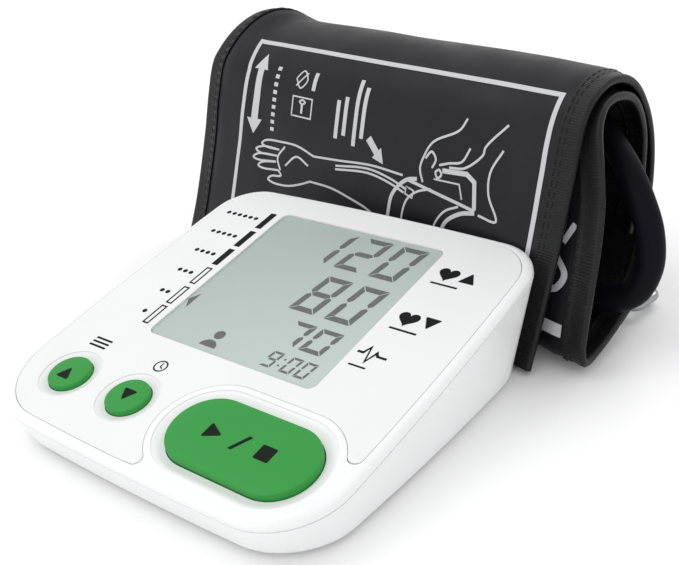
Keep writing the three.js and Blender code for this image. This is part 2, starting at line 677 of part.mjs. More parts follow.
// Elbow that brings the air out of the bladder: a flange on the lining and a spigot for the hose.
function hosePort() {
  const [x, y, z] = hoseStart;
  const spigot = rod(3, [x - 8, y, z], [x - gap, y, z]);
  return spigot.add(block([x - 14, y - 4.6, z - 4], [x - 7, y + 2.6, z + 3.2]));
}

function airPlug() {
  const [x, y, z] = hoseEnd;
  const profile = [[0, 0], [3.9, 0], [4.2, 0.8], [4.2, 12], [3.5, 13], [3.5, 15], [2.9, 15.5], [2.9, 24],
    [2.4, 25], [0, 25]];
  const geometry = new THREE.LatheGeometry(profile.map(([r, h]) => new THREE.Vector2(r, h)), 16);
  return solid(geometry, [x + gap, y, z], [0, 0, -Math.PI / 2]);
}

function cuff() {
  const group = new THREE.Group();
  group.position.set(cuffPlace[0], cuffPlace[1], 0);
  group.rotation.z = cuffYaw;
  group.add(named('cuff_outer_cloth', alongRoll(layer(-clothEdge, clothEdge, 0.6, clothHalf)), black));
  group.add(named('cuff_lining', alongRoll(layer(-clothEdge, clothEdge, -clothHalf, -0.9)), rubber));
  const bladder = alongRoll(layer(-64, 62, -0.6, 0.3), 21, 54);
  group.add(named('air_bladder', bladder, { color: 0x55585c, roughness: 0.5, metalness: 0 }));
  group.add(named('edge_tape_right', alongRoll(tapeSection(1)), rubber));
  group.add(named('edge_tape_left', alongRoll(tapeSection(-1)), rubber));
  const hooks = alongRoll(layer(-60, 60, -3.1, -clothHalf - gap), 1, 8);
  group.add(named('hook_patch', hooks, black));
  const loops = alongRoll(layer(-62, 62, clothHalf + gap, 2.8), 20, 26);
  group.add(named('loop_patch', loops, black));
  group.add(named('ring_loop', geometryOf(ringLoop()), black));
  group.add(named('metal_ring', metalRing(), steel));
  group.add(named('hose_port', geometryOf(hosePort()), black));
  group.add(named('air_hose', hose(), rubber));
  group.add(named('air_plug', geometryOf(airPlug()), black));
  return group;
}

// ---------------------------------------------------------------- the assembly
const assembly = new THREE.Group();
assembly.add(named('bottom_housing', geometryOf(bottomHousing()), white));
assembly.add(named('top_housing', geometryOf(topHousing()), white));
assembly.add(deck(), airSystem(), powerSupply(), baseFittings(), cuff());

// The origin is the centre of the footprint, without the hose and what is on it.
const hoseNodes = ['air_hose', 'air_plug', 'hose_port'];
assembly.updateMatrixWorld(true);
const footprint = new THREE.Box3();
assembly.traverse((mesh) => {
  if (mesh.isMesh && !hoseNodes.includes(mesh.name)) {
    footprint.expandByObject(mesh, true);
  }
});
const centre = footprint.getCenter(new THREE.Vector3());
assembly.position.set(-centre.x, -centre.y, -footprint.min.z);

export default assembly;
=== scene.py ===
"""Looks of an upper arm blood pressure monitor: a white wedge-shaped desk unit with a display and
three green keys, and its rolled black arm cuff with an air hose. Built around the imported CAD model.
Shapes are written in millimetres, in the unit's or the cuff's own frame, and placed in metres."""
import json
import math

import bmesh
import bpy
import numpy as np
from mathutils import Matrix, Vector, noise
from mathutils.geometry import delaunay_2d_cdt


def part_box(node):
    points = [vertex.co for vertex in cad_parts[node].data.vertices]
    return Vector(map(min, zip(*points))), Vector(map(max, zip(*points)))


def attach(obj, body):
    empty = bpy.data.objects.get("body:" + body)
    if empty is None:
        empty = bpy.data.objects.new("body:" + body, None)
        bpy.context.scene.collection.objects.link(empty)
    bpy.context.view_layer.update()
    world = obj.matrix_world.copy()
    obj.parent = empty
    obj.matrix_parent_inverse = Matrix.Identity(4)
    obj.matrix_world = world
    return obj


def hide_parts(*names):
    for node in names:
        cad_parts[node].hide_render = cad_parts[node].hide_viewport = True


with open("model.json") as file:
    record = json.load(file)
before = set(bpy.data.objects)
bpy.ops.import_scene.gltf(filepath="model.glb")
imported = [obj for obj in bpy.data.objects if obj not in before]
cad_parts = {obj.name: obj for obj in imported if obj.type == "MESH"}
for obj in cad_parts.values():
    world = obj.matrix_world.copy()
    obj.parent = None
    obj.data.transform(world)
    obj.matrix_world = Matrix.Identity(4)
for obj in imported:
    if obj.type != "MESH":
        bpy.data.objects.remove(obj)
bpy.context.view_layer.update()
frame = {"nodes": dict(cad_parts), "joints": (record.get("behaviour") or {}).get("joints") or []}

MM = 0.001

# ---- the two frames
TILT = math.radians(10.4)
LENS_MIDDLE = -0.7           # middle of the display window's thickness, from the face
DECK_X = Vector((1, 0, 0))
DECK_V = Vector((0, math.cos(TILT), math.sin(TILT)))
DECK_N = Vector((0, -math.sin(TILT), math.cos(TILT)))
lens_low, lens_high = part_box("display_lens")
DECK_ORIGIN = (lens_low + lens_high) / 2 - DECK_N * LENS_MIDDLE * MM
UNIT_ORIGIN = Vector((DECK_ORIGIN.x, DECK_ORIGIN.y, 0))

cuff_joint = next(j for j in frame["joints"] if j["child"] == "cuff")
CUFF_Y = Vector(cuff_joint["axis"]).normalized()
CUFF_X = Vector((CUFF_Y.y, -CUFF_Y.x, 0))
RING = {"y": 40, "z": 3.6, "depth": 16, "half_length": 82, "bar": 1.7, "corner": 5}
RING_ROUND = 1.5             # radius of its bar as seen
ring_low, ring_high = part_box("metal_ring")
ring_middle = (ring_low + ring_high) / 2
CUFF_ORIGIN = Vector((ring_middle.x, ring_middle.y, 0)) - CUFF_Y * (RING["y"] + RING["depth"] / 2) * MM


def deck(x, v, w):
    """Sloping face: x across, v up the slope, w above it."""
    return DECK_ORIGIN + (DECK_X * x + DECK_V * v + DECK_N * w) * MM


def unit(x, y, z):
    return UNIT_ORIGIN + Vector((x, y, z)) * MM


def cuff(x, y, z):
    return CUFF_ORIGIN + (CUFF_X * x + CUFF_Y * y + Vector((0, 0, z))) * MM


def add(name, data):
    """A new object in the scene."""
    made = bpy.data.objects.new(name, data)
    bpy.context.scene.collection.objects.link(made)
    return made


# ---- camera
camera_data = bpy.data.cameras.new("camera")
camera_data.sensor_width = 36
camera_data.lens = 53
camera_data.clip_start = 0.01
camera = add("camera", camera_data)
camera.location = unit(175.6, -184.8, 158.1)
camera.rotation_euler = [math.radians(a) for a in (62.882, 5.279, 38.08)]
bpy.context.scene.camera = camera


# ---- materials
def new_material(name, color, roughness, metallic=0.0, **sockets):
    made = bpy.data.materials.new(name)
    made.use_nodes = True
    shader = shader_of(made)
    shader.inputs["Base Color"].default_value = (*color, 1)
    shader.inputs["Roughness"].default_value = roughness
    shader.inputs["Metallic"].default_value = metallic
    for key, value in sockets.items():
        shader.inputs[key.replace("_", " ")].default_value = value
    return made


def node(made, kind, **settings):
    found = made.node_tree.nodes.new(kind)
    for key, value in settings.items():
        if hasattr(found, key):
            setattr(found, key, value)
        else:
            found.inputs[key.replace("_", " ")].default_value = value
    return found


def link(made, source, target):
    made.node_tree.links.new(source, target)


def shader_of(made):
    return made.node_tree.nodes["Principled BSDF"]


def metres(made):
    """Object coordinates, which are the row's metres."""
    return node(made, "ShaderNodeTexCoord").outputs["Object"]


def add_noise(made, scale, detail):
    texture = node(made, "ShaderNodeTexNoise", Scale=scale, Detail=detail)
    link(made, metres(made), texture.inputs["Vector"])
    return texture.outputs["Fac"]


def spread(made, value, low, high, from_low=0.3, from_high=0.7):
    mapped = node(made, "ShaderNodeMapRange")
    mapped.inputs["From Min"].default_value = from_low
    mapped.inputs["From Max"].default_value = from_high
    mapped.inputs["To Min"].default_value = low
    mapped.inputs["To Max"].default_value = high
    link(made, value, mapped.inputs["Value"])
    return mapped.outputs["Result"]


def vary_roughness(made, scale, low, high):
    link(made, spread(made, add_noise(made, scale, 4), low, high), shader_of(made).inputs["Roughness"])


def mix_color(made, share, first, second):
    mix = node(made, "ShaderNodeMix", data_type="RGBA")
    mix.inputs["A"].default_value = (*first, 1)
    mix.inputs["B"].default_value = (*second, 1)
    link(made, share, mix.inputs["Factor"])
    link(made, mix.outputs["Result"], shader_of(made).inputs["Base Color"])


def vary_color(made, scale, dark, light):
    mix_color(made, spread(made, add_noise(made, scale, 4), 0, 1), dark, light)


def bump(made, height, strength, distance, below=None):
    found = node(made, "ShaderNodeBump", Strength=strength, Distance=distance)
    link(made, height, found.inputs["Height"])
    if below is not None:
        link(made, below, found.inputs["Normal"])
    link(made, found.outputs["Normal"], shader_of(made).inputs["Normal"])
    return found.outputs["Normal"]


def moulded(name, color, roughness, grain=4200, depth=0.000008, **sockets):
    """Injection-moulded plastic: fine grain, faint flow unevenness and varied gloss."""
    made = new_material(name, color, roughness, **sockets)
    darker = [c * 0.975 for c in color]
    vary_color(made, 45, darker, color)
    vary_roughness(made, 60, roughness * 0.93, roughness * 1.07)
    if depth:
        bump(made, add_noise(made, grain, 2), 0.2, depth)
    return made


def woven(name, dark, light, roughness, thread, depth, sheen, ribs=False, **sockets):
    """Plain weave of threads that many metres apart, following the cloth's own UV in metres; ribs
    gives cords across the length only."""
    made = new_material(name, light, roughness, **sockets)
    shader_of(made).inputs["Sheen Weight"].default_value = sheen
    shader_of(made).inputs["Sheen Roughness"].default_value = 0.5
    uv = node(made, "ShaderNodeUVMap").outputs["UV"]
    vary_color(made, 60, dark, light)
    waves = []
    scale = math.tau / (thread * 20)
    for direction in ("Y", "Y") if ribs else ("X", "Y"):
        wave = node(made, "ShaderNodeTexWave", bands_direction=direction, Scale=scale, Distortion=0.0)
        link(made, uv, wave.inputs["Vector"])
        waves.append(wave.outputs["Fac"])
    both = node(made, "ShaderNodeMath", operation="MULTIPLY")
    link(made, waves[0], both.inputs[0])
    link(made, waves[1], both.inputs[1])
    weave = bump(made, both.outputs[0], 0.35, depth)
    bump(made, add_noise(made, 130, 3), 0.2, 0.0003, weave)
    vary_roughness(made, 70, roughness * 0.8, roughness * 1.2)
    return made


WHITE = moulded("shell_white", (0.83, 0.833, 0.84), 0.25, depth=0)
# Painted shade: the face panel is the shell's white plastic, its colour made darker to hold back the stronger
# light on the upward face.
FACE_WHITE_PAINTED_SHADE = moulded("face_white_painted_shade", (0.785, 0.788, 0.793), 0.36, depth=0)
GREEN = moulded("key_green", (0.018, 0.275, 0.036), 0.42, depth=0.000003, Specular_IOR_Level=0.35)
KEY_PRINT = moulded("key_print", (0.006, 0.010, 0.006), 0.6, Specular_IOR_Level=0.12)
PRINT = moulded("print_black", (0.006, 0.006, 0.007), 0.6, Specular_IOR_Level=0.12)
BLACK = moulded("black_plastic", (0.02, 0.02, 0.023), 0.45)
SOCKET_WHITE = moulded("socket_white", (0.62, 0.62, 0.62), 0.4)
HOSE = moulded("hose_rubber", (0.004, 0.004, 0.0075), 0.5, grain=2600, depth=0.00003,
               Specular_IOR_Level=0.07)
FOOT = moulded("foot_rubber", (0.02, 0.02, 0.022), 0.75)
SILICONE = moulded("silicone_tube", (0.62, 0.64, 0.62), 0.45)
LIGHT_GUIDE = moulded("light_guide", (0.8, 0.82, 0.8), 0.4)
ZEBRA = moulded("zebra_rubber", (0.45, 0.12, 0.16), 0.6)
BOARD = moulded("circuit_board", (0.012, 0.09, 0.03), 0.4)
VALVE = moulded("valve_tan", (0.35, 0.27, 0.12), 0.45)
CELL = moulded("cell_sleeve", (0.03, 0.032, 0.04), 0.3)
BLADDER = moulded("bladder_grey", (0.03, 0.033, 0.036), 0.45)
CLOTH = woven("cuff_cloth", (0.0067, 0.0064, 0.0086), (0.0104, 0.0098, 0.0128), 0.42, 0.00045, 0.00004, 0.0,
              Specular_IOR_Level=0.22)
LINING = woven("cuff_lining", (0.004, 0.004, 0.005), (0.009, 0.009, 0.011), 0.27, 0.0006, 0.00003, 0.05)
TAPE = woven("binding_tape", (0.0035, 0.0035, 0.004), (0.0075, 0.0075, 0.008), 0.42, 0.0008, 0.0003, 0.0,
             ribs=True, Specular_IOR_Level=0.28)
HOOKS = woven("hook_tape", (0.0095, 0.0095, 0.011), (0.013, 0.013, 0.015), 0.8, 0.0009, 0.0003, 0.2)
THREAD = moulded("thread", (0.006, 0.006, 0.007), 0.6, Specular_IOR_Level=0.2)
PRINT_GREY = moulded("print_grey", (0.52, 0.52, 0.54), 0.45)


def brushed(name, color, roughness):
    made = new_material(name, color, roughness, 1.0)
    vary_roughness(made, 300, roughness * 0.7, roughness * 1.4)
    bump(made, add_noise(made, 900, 2), 0.1, 0.00001)
    return made


STEEL = brushed("plated_steel", (0.55, 0.56, 0.57), 0.3)
# Painted shade: the chrome's colour is made darker than bright chrome, standing in for the dark surroundings it
# reflects.
CHROME_PAINTED_SHADE = brushed("chrome", (0.34, 0.35, 0.36), 0.08)


def display_material():
    """Display grey with painted light: painted shade makes it cooler and darker at the back left, and it grows
    lighter towards the front right.
    """
    made = new_material("display_grey", (0.5, 0.58, 0.54), 0.35)
    axis = node(made, "ShaderNodeVectorMath", operation="DOT_PRODUCT")
    link(made, metres(made), axis.inputs[0])
    slope = 1.25
    axis.inputs[1].default_value = (1, -slope, 0)
    middle = DECK_ORIGIN.x - slope * DECK_ORIGIN.y
    # Painted light: a gradient from painted shade at the back left to lighter grey at the front right.
    painted_light_fade = spread(made, axis.outputs["Value"], 0, 1, middle - 0.035, middle + 0.06)
    mix_color(made, painted_light_fade, (0.335, 0.40, 0.38), (0.455, 0.525, 0.505))
    bump(made, add_noise(made, 5000, 2), 0.15, 0.000006)
    return made


DISPLAY = display_material()
SEGMENT = moulded("display_segment", (0.05, 0.06, 0.057), 0.6, Specular_IOR_Level=0.2)
LENS = new_material("window_clear", (0.9, 0.93, 0.92), 0.06, Alpha=0.05)
bump(LENS, add_noise(LENS, 60, 2), 0.05, 0.00002)


# ---- mesh building
class Build:
    """Collects loops, walls and flat regions into one welded mesh."""

    def __init__(self):
        self.bm = bmesh.new()
        self.uv = self.bm.loops.layers.uv.new("UVMap")

    def ring(self, points):
        return [self.bm.verts.new(p) for p in points]

    def wall(self, low, high):
        for i in range(len(low)):
            j = (i + 1) % len(low)
            self.bm.faces.new((low[i], low[j], high[j], high[i]))

    def loft(self, rings, caps=False, closed=False):
        """Walls from ring to ring, and, if closed, from the last to the first."""
        made = [self.ring(points) for points in rings]
        for low, high in zip(made, made[1:]):
            self.wall(low, high)
        if closed:
            self.wall(made[-1], made[0])
        if caps:
            self.bm.faces.new(list(reversed(made[0])))
            self.bm.faces.new(made[-1])

    def region(self, loops, place):
        """Flat area inside the first loop and outside the others, as triangles."""
        points = []
        edges = []
        for loop in loops:
            first = len(points)
            points += [Vector(p) for p in loop]
            edges += [(first + i, first + (i + 1) % len(loop)) for i in range(len(loop))]
        verts, _, faces, *_ = delaunay_2d_cdt(points, edges, [], 0, 1e-6)
        polygons = [np.array(loop, float) for loop in loops]
        made = [self.bm.verts.new(place(*v)) for v in verts]
        for face in faces:
            middle = sum((verts[i] for i in face), Vector((0, 0))) / len(face)
            if sum(inside(middle, p) for p in polygons) % 2:
                self.bm.faces.new([made[i] for i in face])

    def piece(self, name, material, body, smooth_angle=32, weld=2e-6, slot=None, replaces=()):
        bmesh.ops.remove_doubles(self.bm, verts=self.bm.verts, dist=weld)
        loose = [v for v in self.bm.verts if not v.link_faces]
        bmesh.ops.delete(self.bm, geom=loose, context="VERTS")
        bmesh.ops.recalc_face_normals(self.bm, faces=self.bm.faces)
        mesh = bpy.data.meshes.new(name)
        self.bm.to_mesh(mesh)
        self.bm.free()
        mesh.shade_smooth()
        mesh.set_sharp_from_angle(angle=math.radians(smooth_angle))
        mesh.materials.append(material)
        made = add(name, mesh)
        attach(made, body)
        if replaces:
            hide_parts(*replaces)
        return made


def inside(point, polygon):
    x, y = point
    x0, y0 = polygon[:, 0], polygon[:, 1]
    x1, y1 = np.roll(x0, -1), np.roll(y0, -1)
    crosses = (y0 > y) != (y1 > y)
    with np.errstate(divide="ignore", invalid="ignore"):
        at = x0 + (y - y0) * (x1 - x0) / (y1 - y0)
    return int(np.count_nonzero(crosses & (x < at))) % 2


def arc(cx, cy, radius, start, end, steps):
    angles = [math.radians(start + (end - start) * i / steps) for i in range(steps + 1)]
    return [(cx + radius * math.cos(a), cy + radius * math.sin(a)) for a in angles]


def circle(cx, cy, radius, steps=48):
    return arc(cx, cy, radius, 0, 360, steps)[:-1]


def rounded_box(cx, cy, half_x, half_y, radius, steps=8):
    corners = [(1, 1, 0), (-1, 1, 90), (-1, -1, 180), (1, -1, 270)]
    loop = []
    for sx, sy, start in corners:
        loop += arc(cx + sx * (half_x - radius), cy + sy * (half_y - radius), radius, start, start + 90, steps)
    return loop


def lathe(build, profile, place, steps):
    """Turns (radius, height) points about an axis; place takes (x, y, height)."""
    build.loft([[place(x, y, h) for x, y in circle(0, 0, radius, steps)] for radius, h in profile], caps=True)


# ---- outlines of the desk unit
LID = {"half_width": 57.8, "front": -72.8, "back": 41.8, "front_radius": 19, "back_radius": 12.5, "bow": 1.5}
BASE = {"half_width": 55.4, "front": -68, "back": 33, "front_radius": 18, "back_radius": 13, "bow": 1.5}
LID_DEPTH = 2.5
PLATE_TOP = -1.4
PLATE_BOTTOM = -3.0
FACE_THICKNESS = 1.1
RIM_INSET = 2.0
SEAM = 0.3
PANEL_GAP = 0.11             # between the face panel and the rim
START = (26.6, -54.7)
START_HALF_LENGTH = 23.1
START_HALF_DEPTH = 11.75
START_STRAIGHT = START_HALF_LENGTH - START_HALF_DEPTH
START_ENDS = [Vector((START[0] + way * START_STRAIGHT, START[1])) for way in (-1, 1)]
START_WELL = 5.0
KEYS = {"mem_button": (-38.5, -55.0), "set_button": (-14.6, -54.8)}
KEY_RADIUS = 6.9
KEY_GAP = -0.35              # hole past the key's nominal outline
KEY_SIDE = -0.6              # side of the key, likewise
WINDOW = (30.5, 32.0)        # half width, half depth
WINDOW_RADIUS = 2.6


def outline(shape, inset=0.0):
    """The lid's or the base's outline, with sides that bow out a little."""
    corner_steps = side_steps = 14
    w = shape["half_width"] - inset
    y0, y1 = shape["front"] + inset, shape["back"] - inset
    back, front, bow = shape["back_radius"], shape["front_radius"], shape["bow"]
    corners = [(w - back, y1 - back, back, 0), (-w + back, y1 - back, back, 90),
               (-w + front, y0 + front, front, 180), (w - front, y0 + front, front, 270)]
    rough = []
    for k, (cx, cy, radius, start) in enumerate(corners):
        rough += arc(cx, cy, radius, start, start + 90, corner_steps)
        nx, ny, next_radius, next_start = corners[(k + 1) % 4]
        ox, oy = rough[-1]
        turn = math.radians(next_start)
        tx, ty = nx + next_radius * math.cos(turn), ny + next_radius * math.sin(turn)
        shares = [i / side_steps for i in range(1, side_steps)]
        rough += [(ox + (tx - ox) * share, oy + (ty - oy) * share) for share in shares]
    middle, half = (y0 + y1) / 2, (y1 - y0) / 2
    loop = []
    for x, y in rough:
        across, along = x / w, (y - middle) / half
        loop.append((x + across * bow * (1 - along ** 2), y + along * bow * (1 - across ** 2)))
    return loop


def outline_distance(x, y, shape, inset):
    """Signed distance to the bowed outline, negative inside, for arrays of points."""
    w = shape["half_width"] - inset
    y0, y1 = shape["front"] + inset, shape["back"] - inset
    middle, half = (y0 + y1) / 2, (y1 - y0) / 2
    across, along = x / w, (y - middle) / half
    x = np.abs(x - across * shape["bow"] * (1 - along ** 2))
    y = y - along * shape["bow"] * (1 - across ** 2) - middle
    radius = np.where(y > 0, shape["back_radius"], shape["front_radius"])
    qx, qy = x - w + radius, np.abs(y) - half + radius
    outer = np.hypot(np.maximum(qx, 0), np.maximum(qy, 0))
    return outer + np.minimum(np.maximum(qx, qy), 0) - radius


def stadium(grow):
    """Outline of the start key, that much larger."""
    radius = START_HALF_DEPTH + grow
    right = arc(START[0] + START_STRAIGHT, START[1], radius, -90, 90, 22)
    left = arc(START[0] - START_STRAIGHT, START[1], radius, 90, 270, 22)
    across = [START[0] + START_STRAIGHT * (1 - 2 * i / 8) for i in range(1, 8)]
    back = [(x, START[1] + radius) for x in across]
    front = [(x, START[1] - radius) for x in reversed(across)]
    return right + back + left + front


def panel_corners(inset, reach, fillet):
    """Centres of the two arcs that join the outline to the well of the start key, right then left."""
    left_end, right_end = START_ENDS

    def corner_at(low, high, hub):
        for _ in range(40):
            middle = low.lerp(high, 0.5)
            centre = hub + (middle - hub).normalized() * (reach + fillet)
            out = float(outline_distance(np.array([centre.x]), np.array([centre.y]), LID, inset)[0]) > -fillet
            low, high = (low, middle) if out else (middle, high)
        return centre

    right = corner_at(right_end + Vector((0, 20)), right_end + Vector((20, 2)), right_end)
    left = corner_at(left_end + Vector((-15, 0)), left_end + Vector((-5, -20)), left_end)
    return right, left


def nearest(loop, point):
    return min(range(len(loop)), key=lambda i: (Vector(loop[i]) - point).length)


def bearing(centre, point):
    return math.degrees(math.atan2(point[1] - centre[1], point[0] - centre[0]))


PANEL_FILLET = 2.2
PANEL_CUTS = [nearest(outline(LID, RIM_INSET + SEAM), corner) for corner in
              panel_corners(RIM_INSET + SEAM, START_HALF_DEPTH + START_WELL, PANEL_FILLET)]


def panel_edge(grow):
    """Edge of the face panel: the outline less the well of the start key, with rounded corners."""
    inset = RIM_INSET + SEAM - grow
    reach = START_HALF_DEPTH + START_WELL - grow
    left_hub, right_hub = START_ENDS
    right, left = panel_corners(inset, reach, PANEL_FILLET)
    side = outline(LID, inset)
    count = len(side)
    first, last = PANEL_CUTS
    steps = (last - first) % count
    path = [side[(last - k) % count] for k in range(1, steps - 1)]
    edge_right, edge_left = bearing(right, side[first]), bearing(left, side[last])
    to_right, to_left = bearing(right, right_hub), bearing(left, left_hub)
    path += arc(*right, PANEL_FILLET, edge_right, to_right if to_right < edge_right else to_right - 360, 8)
    path += arc(*right_hub, reach, bearing(right_hub, right), 90, 20)
    path += [tuple(right_hub.lerp(left_hub, k / 8) + Vector((0, reach))) for k in range(1, 8)]
    path += arc(*left_hub, reach, 90, bearing(left_hub, left) % 360, 24)
    path += arc(*left, PANEL_FILLET, to_left, edge_left if edge_left < to_left else edge_left - 360, 8)
    return path


def on_face(w):
    return lambda x, v: deck(x, v, w)


def lifted(loop, w):
    return [deck(x, v, w) for x, v in loop]


# ---- desk unit: shells
EDGE_ROUND = 0.12
RIM_ROUND = 1.8
RIM_WALL = 2.3
START_DISH, START_DISH_DEPTH = 3.0, 1.35
KEY_DISH, KEY_DISH_DEPTH = 2.3, 0.9


def dish(loop_at, width, depth):
    """Shallow concave ring around a key, from a small step at its outer edge to the key's hole."""
    step, slope, steps = 0.22, 0.08, 10
    low = width - slope
    rings = [lifted(loop_at(width), 0), lifted(loop_at(low), -step)]
    for i in range(1, steps + 1):
        t = i / steps
        out = low * (1 - t) + KEY_GAP * t
        rings.append(lifted(loop_at(out), -step - (depth - step) * math.sin(math.pi / 2 * t) ** 1.4))
    return rings


def key_ring(place):
    return lambda out: circle(*place, KEY_RADIUS + out, 64)


def top_housing():
    build = Build()
    turns = [math.radians(a) for a in range(0, 91, 9)]
    curve = [(RIM_ROUND * (1 - math.cos(a)), RIM_ROUND * (math.sin(a) - 1)) for a in turns]
    build.loft([lifted(outline(LID, inset), w) for inset, w in [(0, -LID_DEPTH), *curve]])
    recess, soft = panel_edge(PANEL_GAP), panel_edge(PANEL_GAP + EDGE_ROUND)
    build.region([outline(LID, RIM_ROUND), soft, stadium(START_DISH)], on_face(0))
    build.loft([lifted(soft, 0), lifted(recess, -EDGE_ROUND), lifted(recess, PLATE_TOP)])
    build.loft(dish(stadium, START_DISH, START_DISH_DEPTH) + [lifted(stadium(KEY_GAP), PLATE_BOTTOM)])
    window = window_loop(0.6)
    holes = [key_ring(place)(KEY_GAP) for place in KEYS.values()]
    build.region([recess, window, *holes], on_face(PLATE_TOP))
    for hole in [window, *holes]:
        build.loft([lifted(hole, PLATE_TOP), lifted(hole, PLATE_BOTTOM)])
    inner = outline(LID, RIM_WALL)
    build.region([inner, window, stadium(KEY_GAP), *holes], on_face(PLATE_BOTTOM))
    build.loft([lifted(inner, PLATE_BOTTOM), lifted(inner, -LID_DEPTH)])
    build.region([outline(LID), inner], on_face(-LID_DEPTH))
    build.piece("top_shell", WHITE, "monitor", slot="shell_white", replaces=["top_housing"])


def face_panel():
    build = Build()
    edge, soft = panel_edge(0), panel_edge(-EDGE_ROUND)
    window = window_loop(0.1)
    rings = [key_ring(place) for place in KEYS.values()]
    build.region([soft, window, *[ring(KEY_DISH) for ring in rings]], on_face(0))
    build.loft([lifted(soft, 0), lifted(edge, -EDGE_ROUND), lifted(edge, -FACE_THICKNESS)])
    build.loft([lifted(window, 0), lifted(window, -FACE_THICKNESS)])
    for ring in rings:
        build.loft(dish(ring, KEY_DISH, KEY_DISH_DEPTH) + [lifted(ring(KEY_GAP), -FACE_THICKNESS)])
    build.region([edge, window, *[ring(KEY_GAP) for ring in rings]], on_face(-FACE_THICKNESS))
    build.piece("face_plate", FACE_WHITE_PAINTED_SHADE, "monitor", slot="shell_white", replaces=["face_panel"])


FOOT_HEIGHT = 1.0
FLOOR_TOP = 2.8
BAY = {"left": -52.5, "right": 39.5, "front": 0.8, "back": 23.4, "top": 13.6}
SCREWS = [(-51.2, -36), (51.2, -36), (-51.2, -14), (51.2, -14)]
FEET = [(-41, -56), (41, -56), (-41, 27.3), (41, 27.3)]
FOOT_RADIUS = 2.9
SCREW_HOLE = 2.7
SIDE_WALL = (-66, -50)       # x span that the bores of the socket and the jack cut through
BAY_CORNER = 1.5
BAY_WALL = 0.8
SOCKET = {"y": -25, "z": 9, "outer": 4.6, "bore": 3.2}
JACK = {"y": -5.4, "z": 7.8, "hole": 3.1, "bore": 2.8}


def flat(loop, z):
    return [unit(x, y, z) for x, y in loop]


def between(low, high, t):
    return [a.lerp(b, t) for a, b in zip(low, high)]


def cutter(loops, low, high):
    """A prism for cutting, upright, from z low to z high."""
    build = Build()
    for loop in loops:
        build.loft([flat(loop, low), flat(loop, high)], caps=True)
    return build


def cut(piece, build):
    tool = build.piece("cutter", BLACK, "monitor")
    modifier = piece.modifiers.new("cut", "BOOLEAN")
    modifier.operation = "DIFFERENCE"
    modifier.object = tool
    modifier.solver = "EXACT"
    bake(piece)
    bpy.data.objects.remove(tool)


def bake(piece):
    """Replaces a piece's mesh by the result of its modifiers."""
    graph = bpy.context.evaluated_depsgraph_get()
    made = bpy.data.meshes.new_from_object(piece.evaluated_get(graph))
    piece.modifiers.clear()
    piece.data = made
    made.shade_smooth()
    made.set_sharp_from_angle(angle=math.radians(32))


def side_bore(build, place, radius, x0, x1):
    loop = circle(place["y"], place["z"], radius, 40)
    build.loft([[unit(x, y, z) for y, z in loop] for x in (x0, x1)], caps=True)


def bottom_housing():
    build = Build()
    parting = -LID_DEPTH - SEAM
    foot_curve = [(3, 1.0), (1.9, 1.15), (0.9, 1.6), (0.25, 2.3), (0, 3.0)]
    outer = [flat(outline(BASE, inset), z) for inset, z in foot_curve]
    rim = lifted(outline(LID), parting)
    wall = [between(outer[-1], rim, i / 8) for i in range(1, 8)]
    inner_top = lifted(outline(LID, 2), parting)
    inner_low = flat(outline(BASE, 3.4), FLOOR_TOP)
    soft_rim = [lifted(outline(LID), parting - EDGE_ROUND), lifted(outline(LID, EDGE_ROUND), parting)]
    inside_wall = [inner_top, between(inner_top, inner_low, 0.5), inner_low]
    build.loft([*outer, *wall, *soft_rim, *inside_wall], caps=True)
    shell = build.piece("bottom_shell", WHITE, "monitor", slot="shell_white", replaces=["bottom_housing"])
    middle = ((BAY["left"] + BAY["right"]) / 2, (BAY["front"] + BAY["back"]) / 2)
    half = ((BAY["right"] - BAY["left"]) / 2, (BAY["back"] - BAY["front"]) / 2)
    cut(shell, cutter([rounded_box(*middle, *half, BAY_CORNER, 4)], -1, FLOOR_TOP + 1))
    cut(shell, cutter([circle(x, y, FOOT_RADIUS + SEAM) for x, y in FEET], -1, FOOT_HEIGHT + 0.8))
    cut(shell, cutter([circle(x, y, SCREW_HOLE) for x, y in SCREWS], -1, FOOT_HEIGHT + 1.5))
    bores = Build()
    side_bore(bores, SOCKET, SOCKET["outer"] + SEAM, *SIDE_WALL)
    side_bore(bores, JACK, JACK["hole"], *SIDE_WALL)
    cut(shell, bores)
    walls = Build()
    low = FLOOR_TOP - 0.3
    loops = []
    for grow, corner in ((0.01, 0), (BAY_WALL, BAY_WALL)):
        loop = rounded_box(*middle, half[0] + grow, half[1] + grow, BAY_CORNER + corner, 4)
        top = BAY["top"] + corner
        walls.loft([flat(loop, low), flat(loop, top)])
        walls.region([loop], lambda x, y, z=top: unit(x, y, z))
        loops.append(loop)
    walls.region(loops[::-1], lambda x, y: unit(x, y, low))
    walls.piece("battery_bay", WHITE, "monitor", slot="shell_white")


# ---- desk unit: keys, window, display
KEY_FLANGE = 1.2             # how far it reaches past the key's outline
KEY_FLANGE_SPAN = (-4.2, -3.3)
KEY_STRAIGHT = 0.2           # height of the side's straight part over the face
KEY_EDGE = 0.5
START_TOP, ROUND_TOP = 0.965, 0.92


def key_top(name, loop_at, crown):
    """Key with a softly rounded edge, a slightly crowned top and the flange that keeps it in."""
    build = Build()
    rings = [lifted(loop_at(KEY_FLANGE), w) for w in KEY_FLANGE_SPAN]
    rings += [lifted(loop_at(KEY_SIDE), w) for w in (KEY_FLANGE_SPAN[1], -1.5, KEY_STRAIGHT)]
    for angle in range(15, 91, 15):
        turn = math.radians(angle)
        out = KEY_SIDE - KEY_EDGE * (1 - math.cos(turn))
        rings.append(lifted(loop_at(out), KEY_STRAIGHT + KEY_EDGE * math.sin(turn)))
    rings += [lifted(loop_at(KEY_SIDE - KEY_EDGE - step), KEY_STRAIGHT + KEY_EDGE + crown * rise)
              for step, rise in ((1.0, 0.3), (2.4, 0.62), (4.2, 0.9))]
    build.loft(rings, caps=True)
    build.piece(name + "_cap", GREEN, name, slot="button_green", replaces=[name])


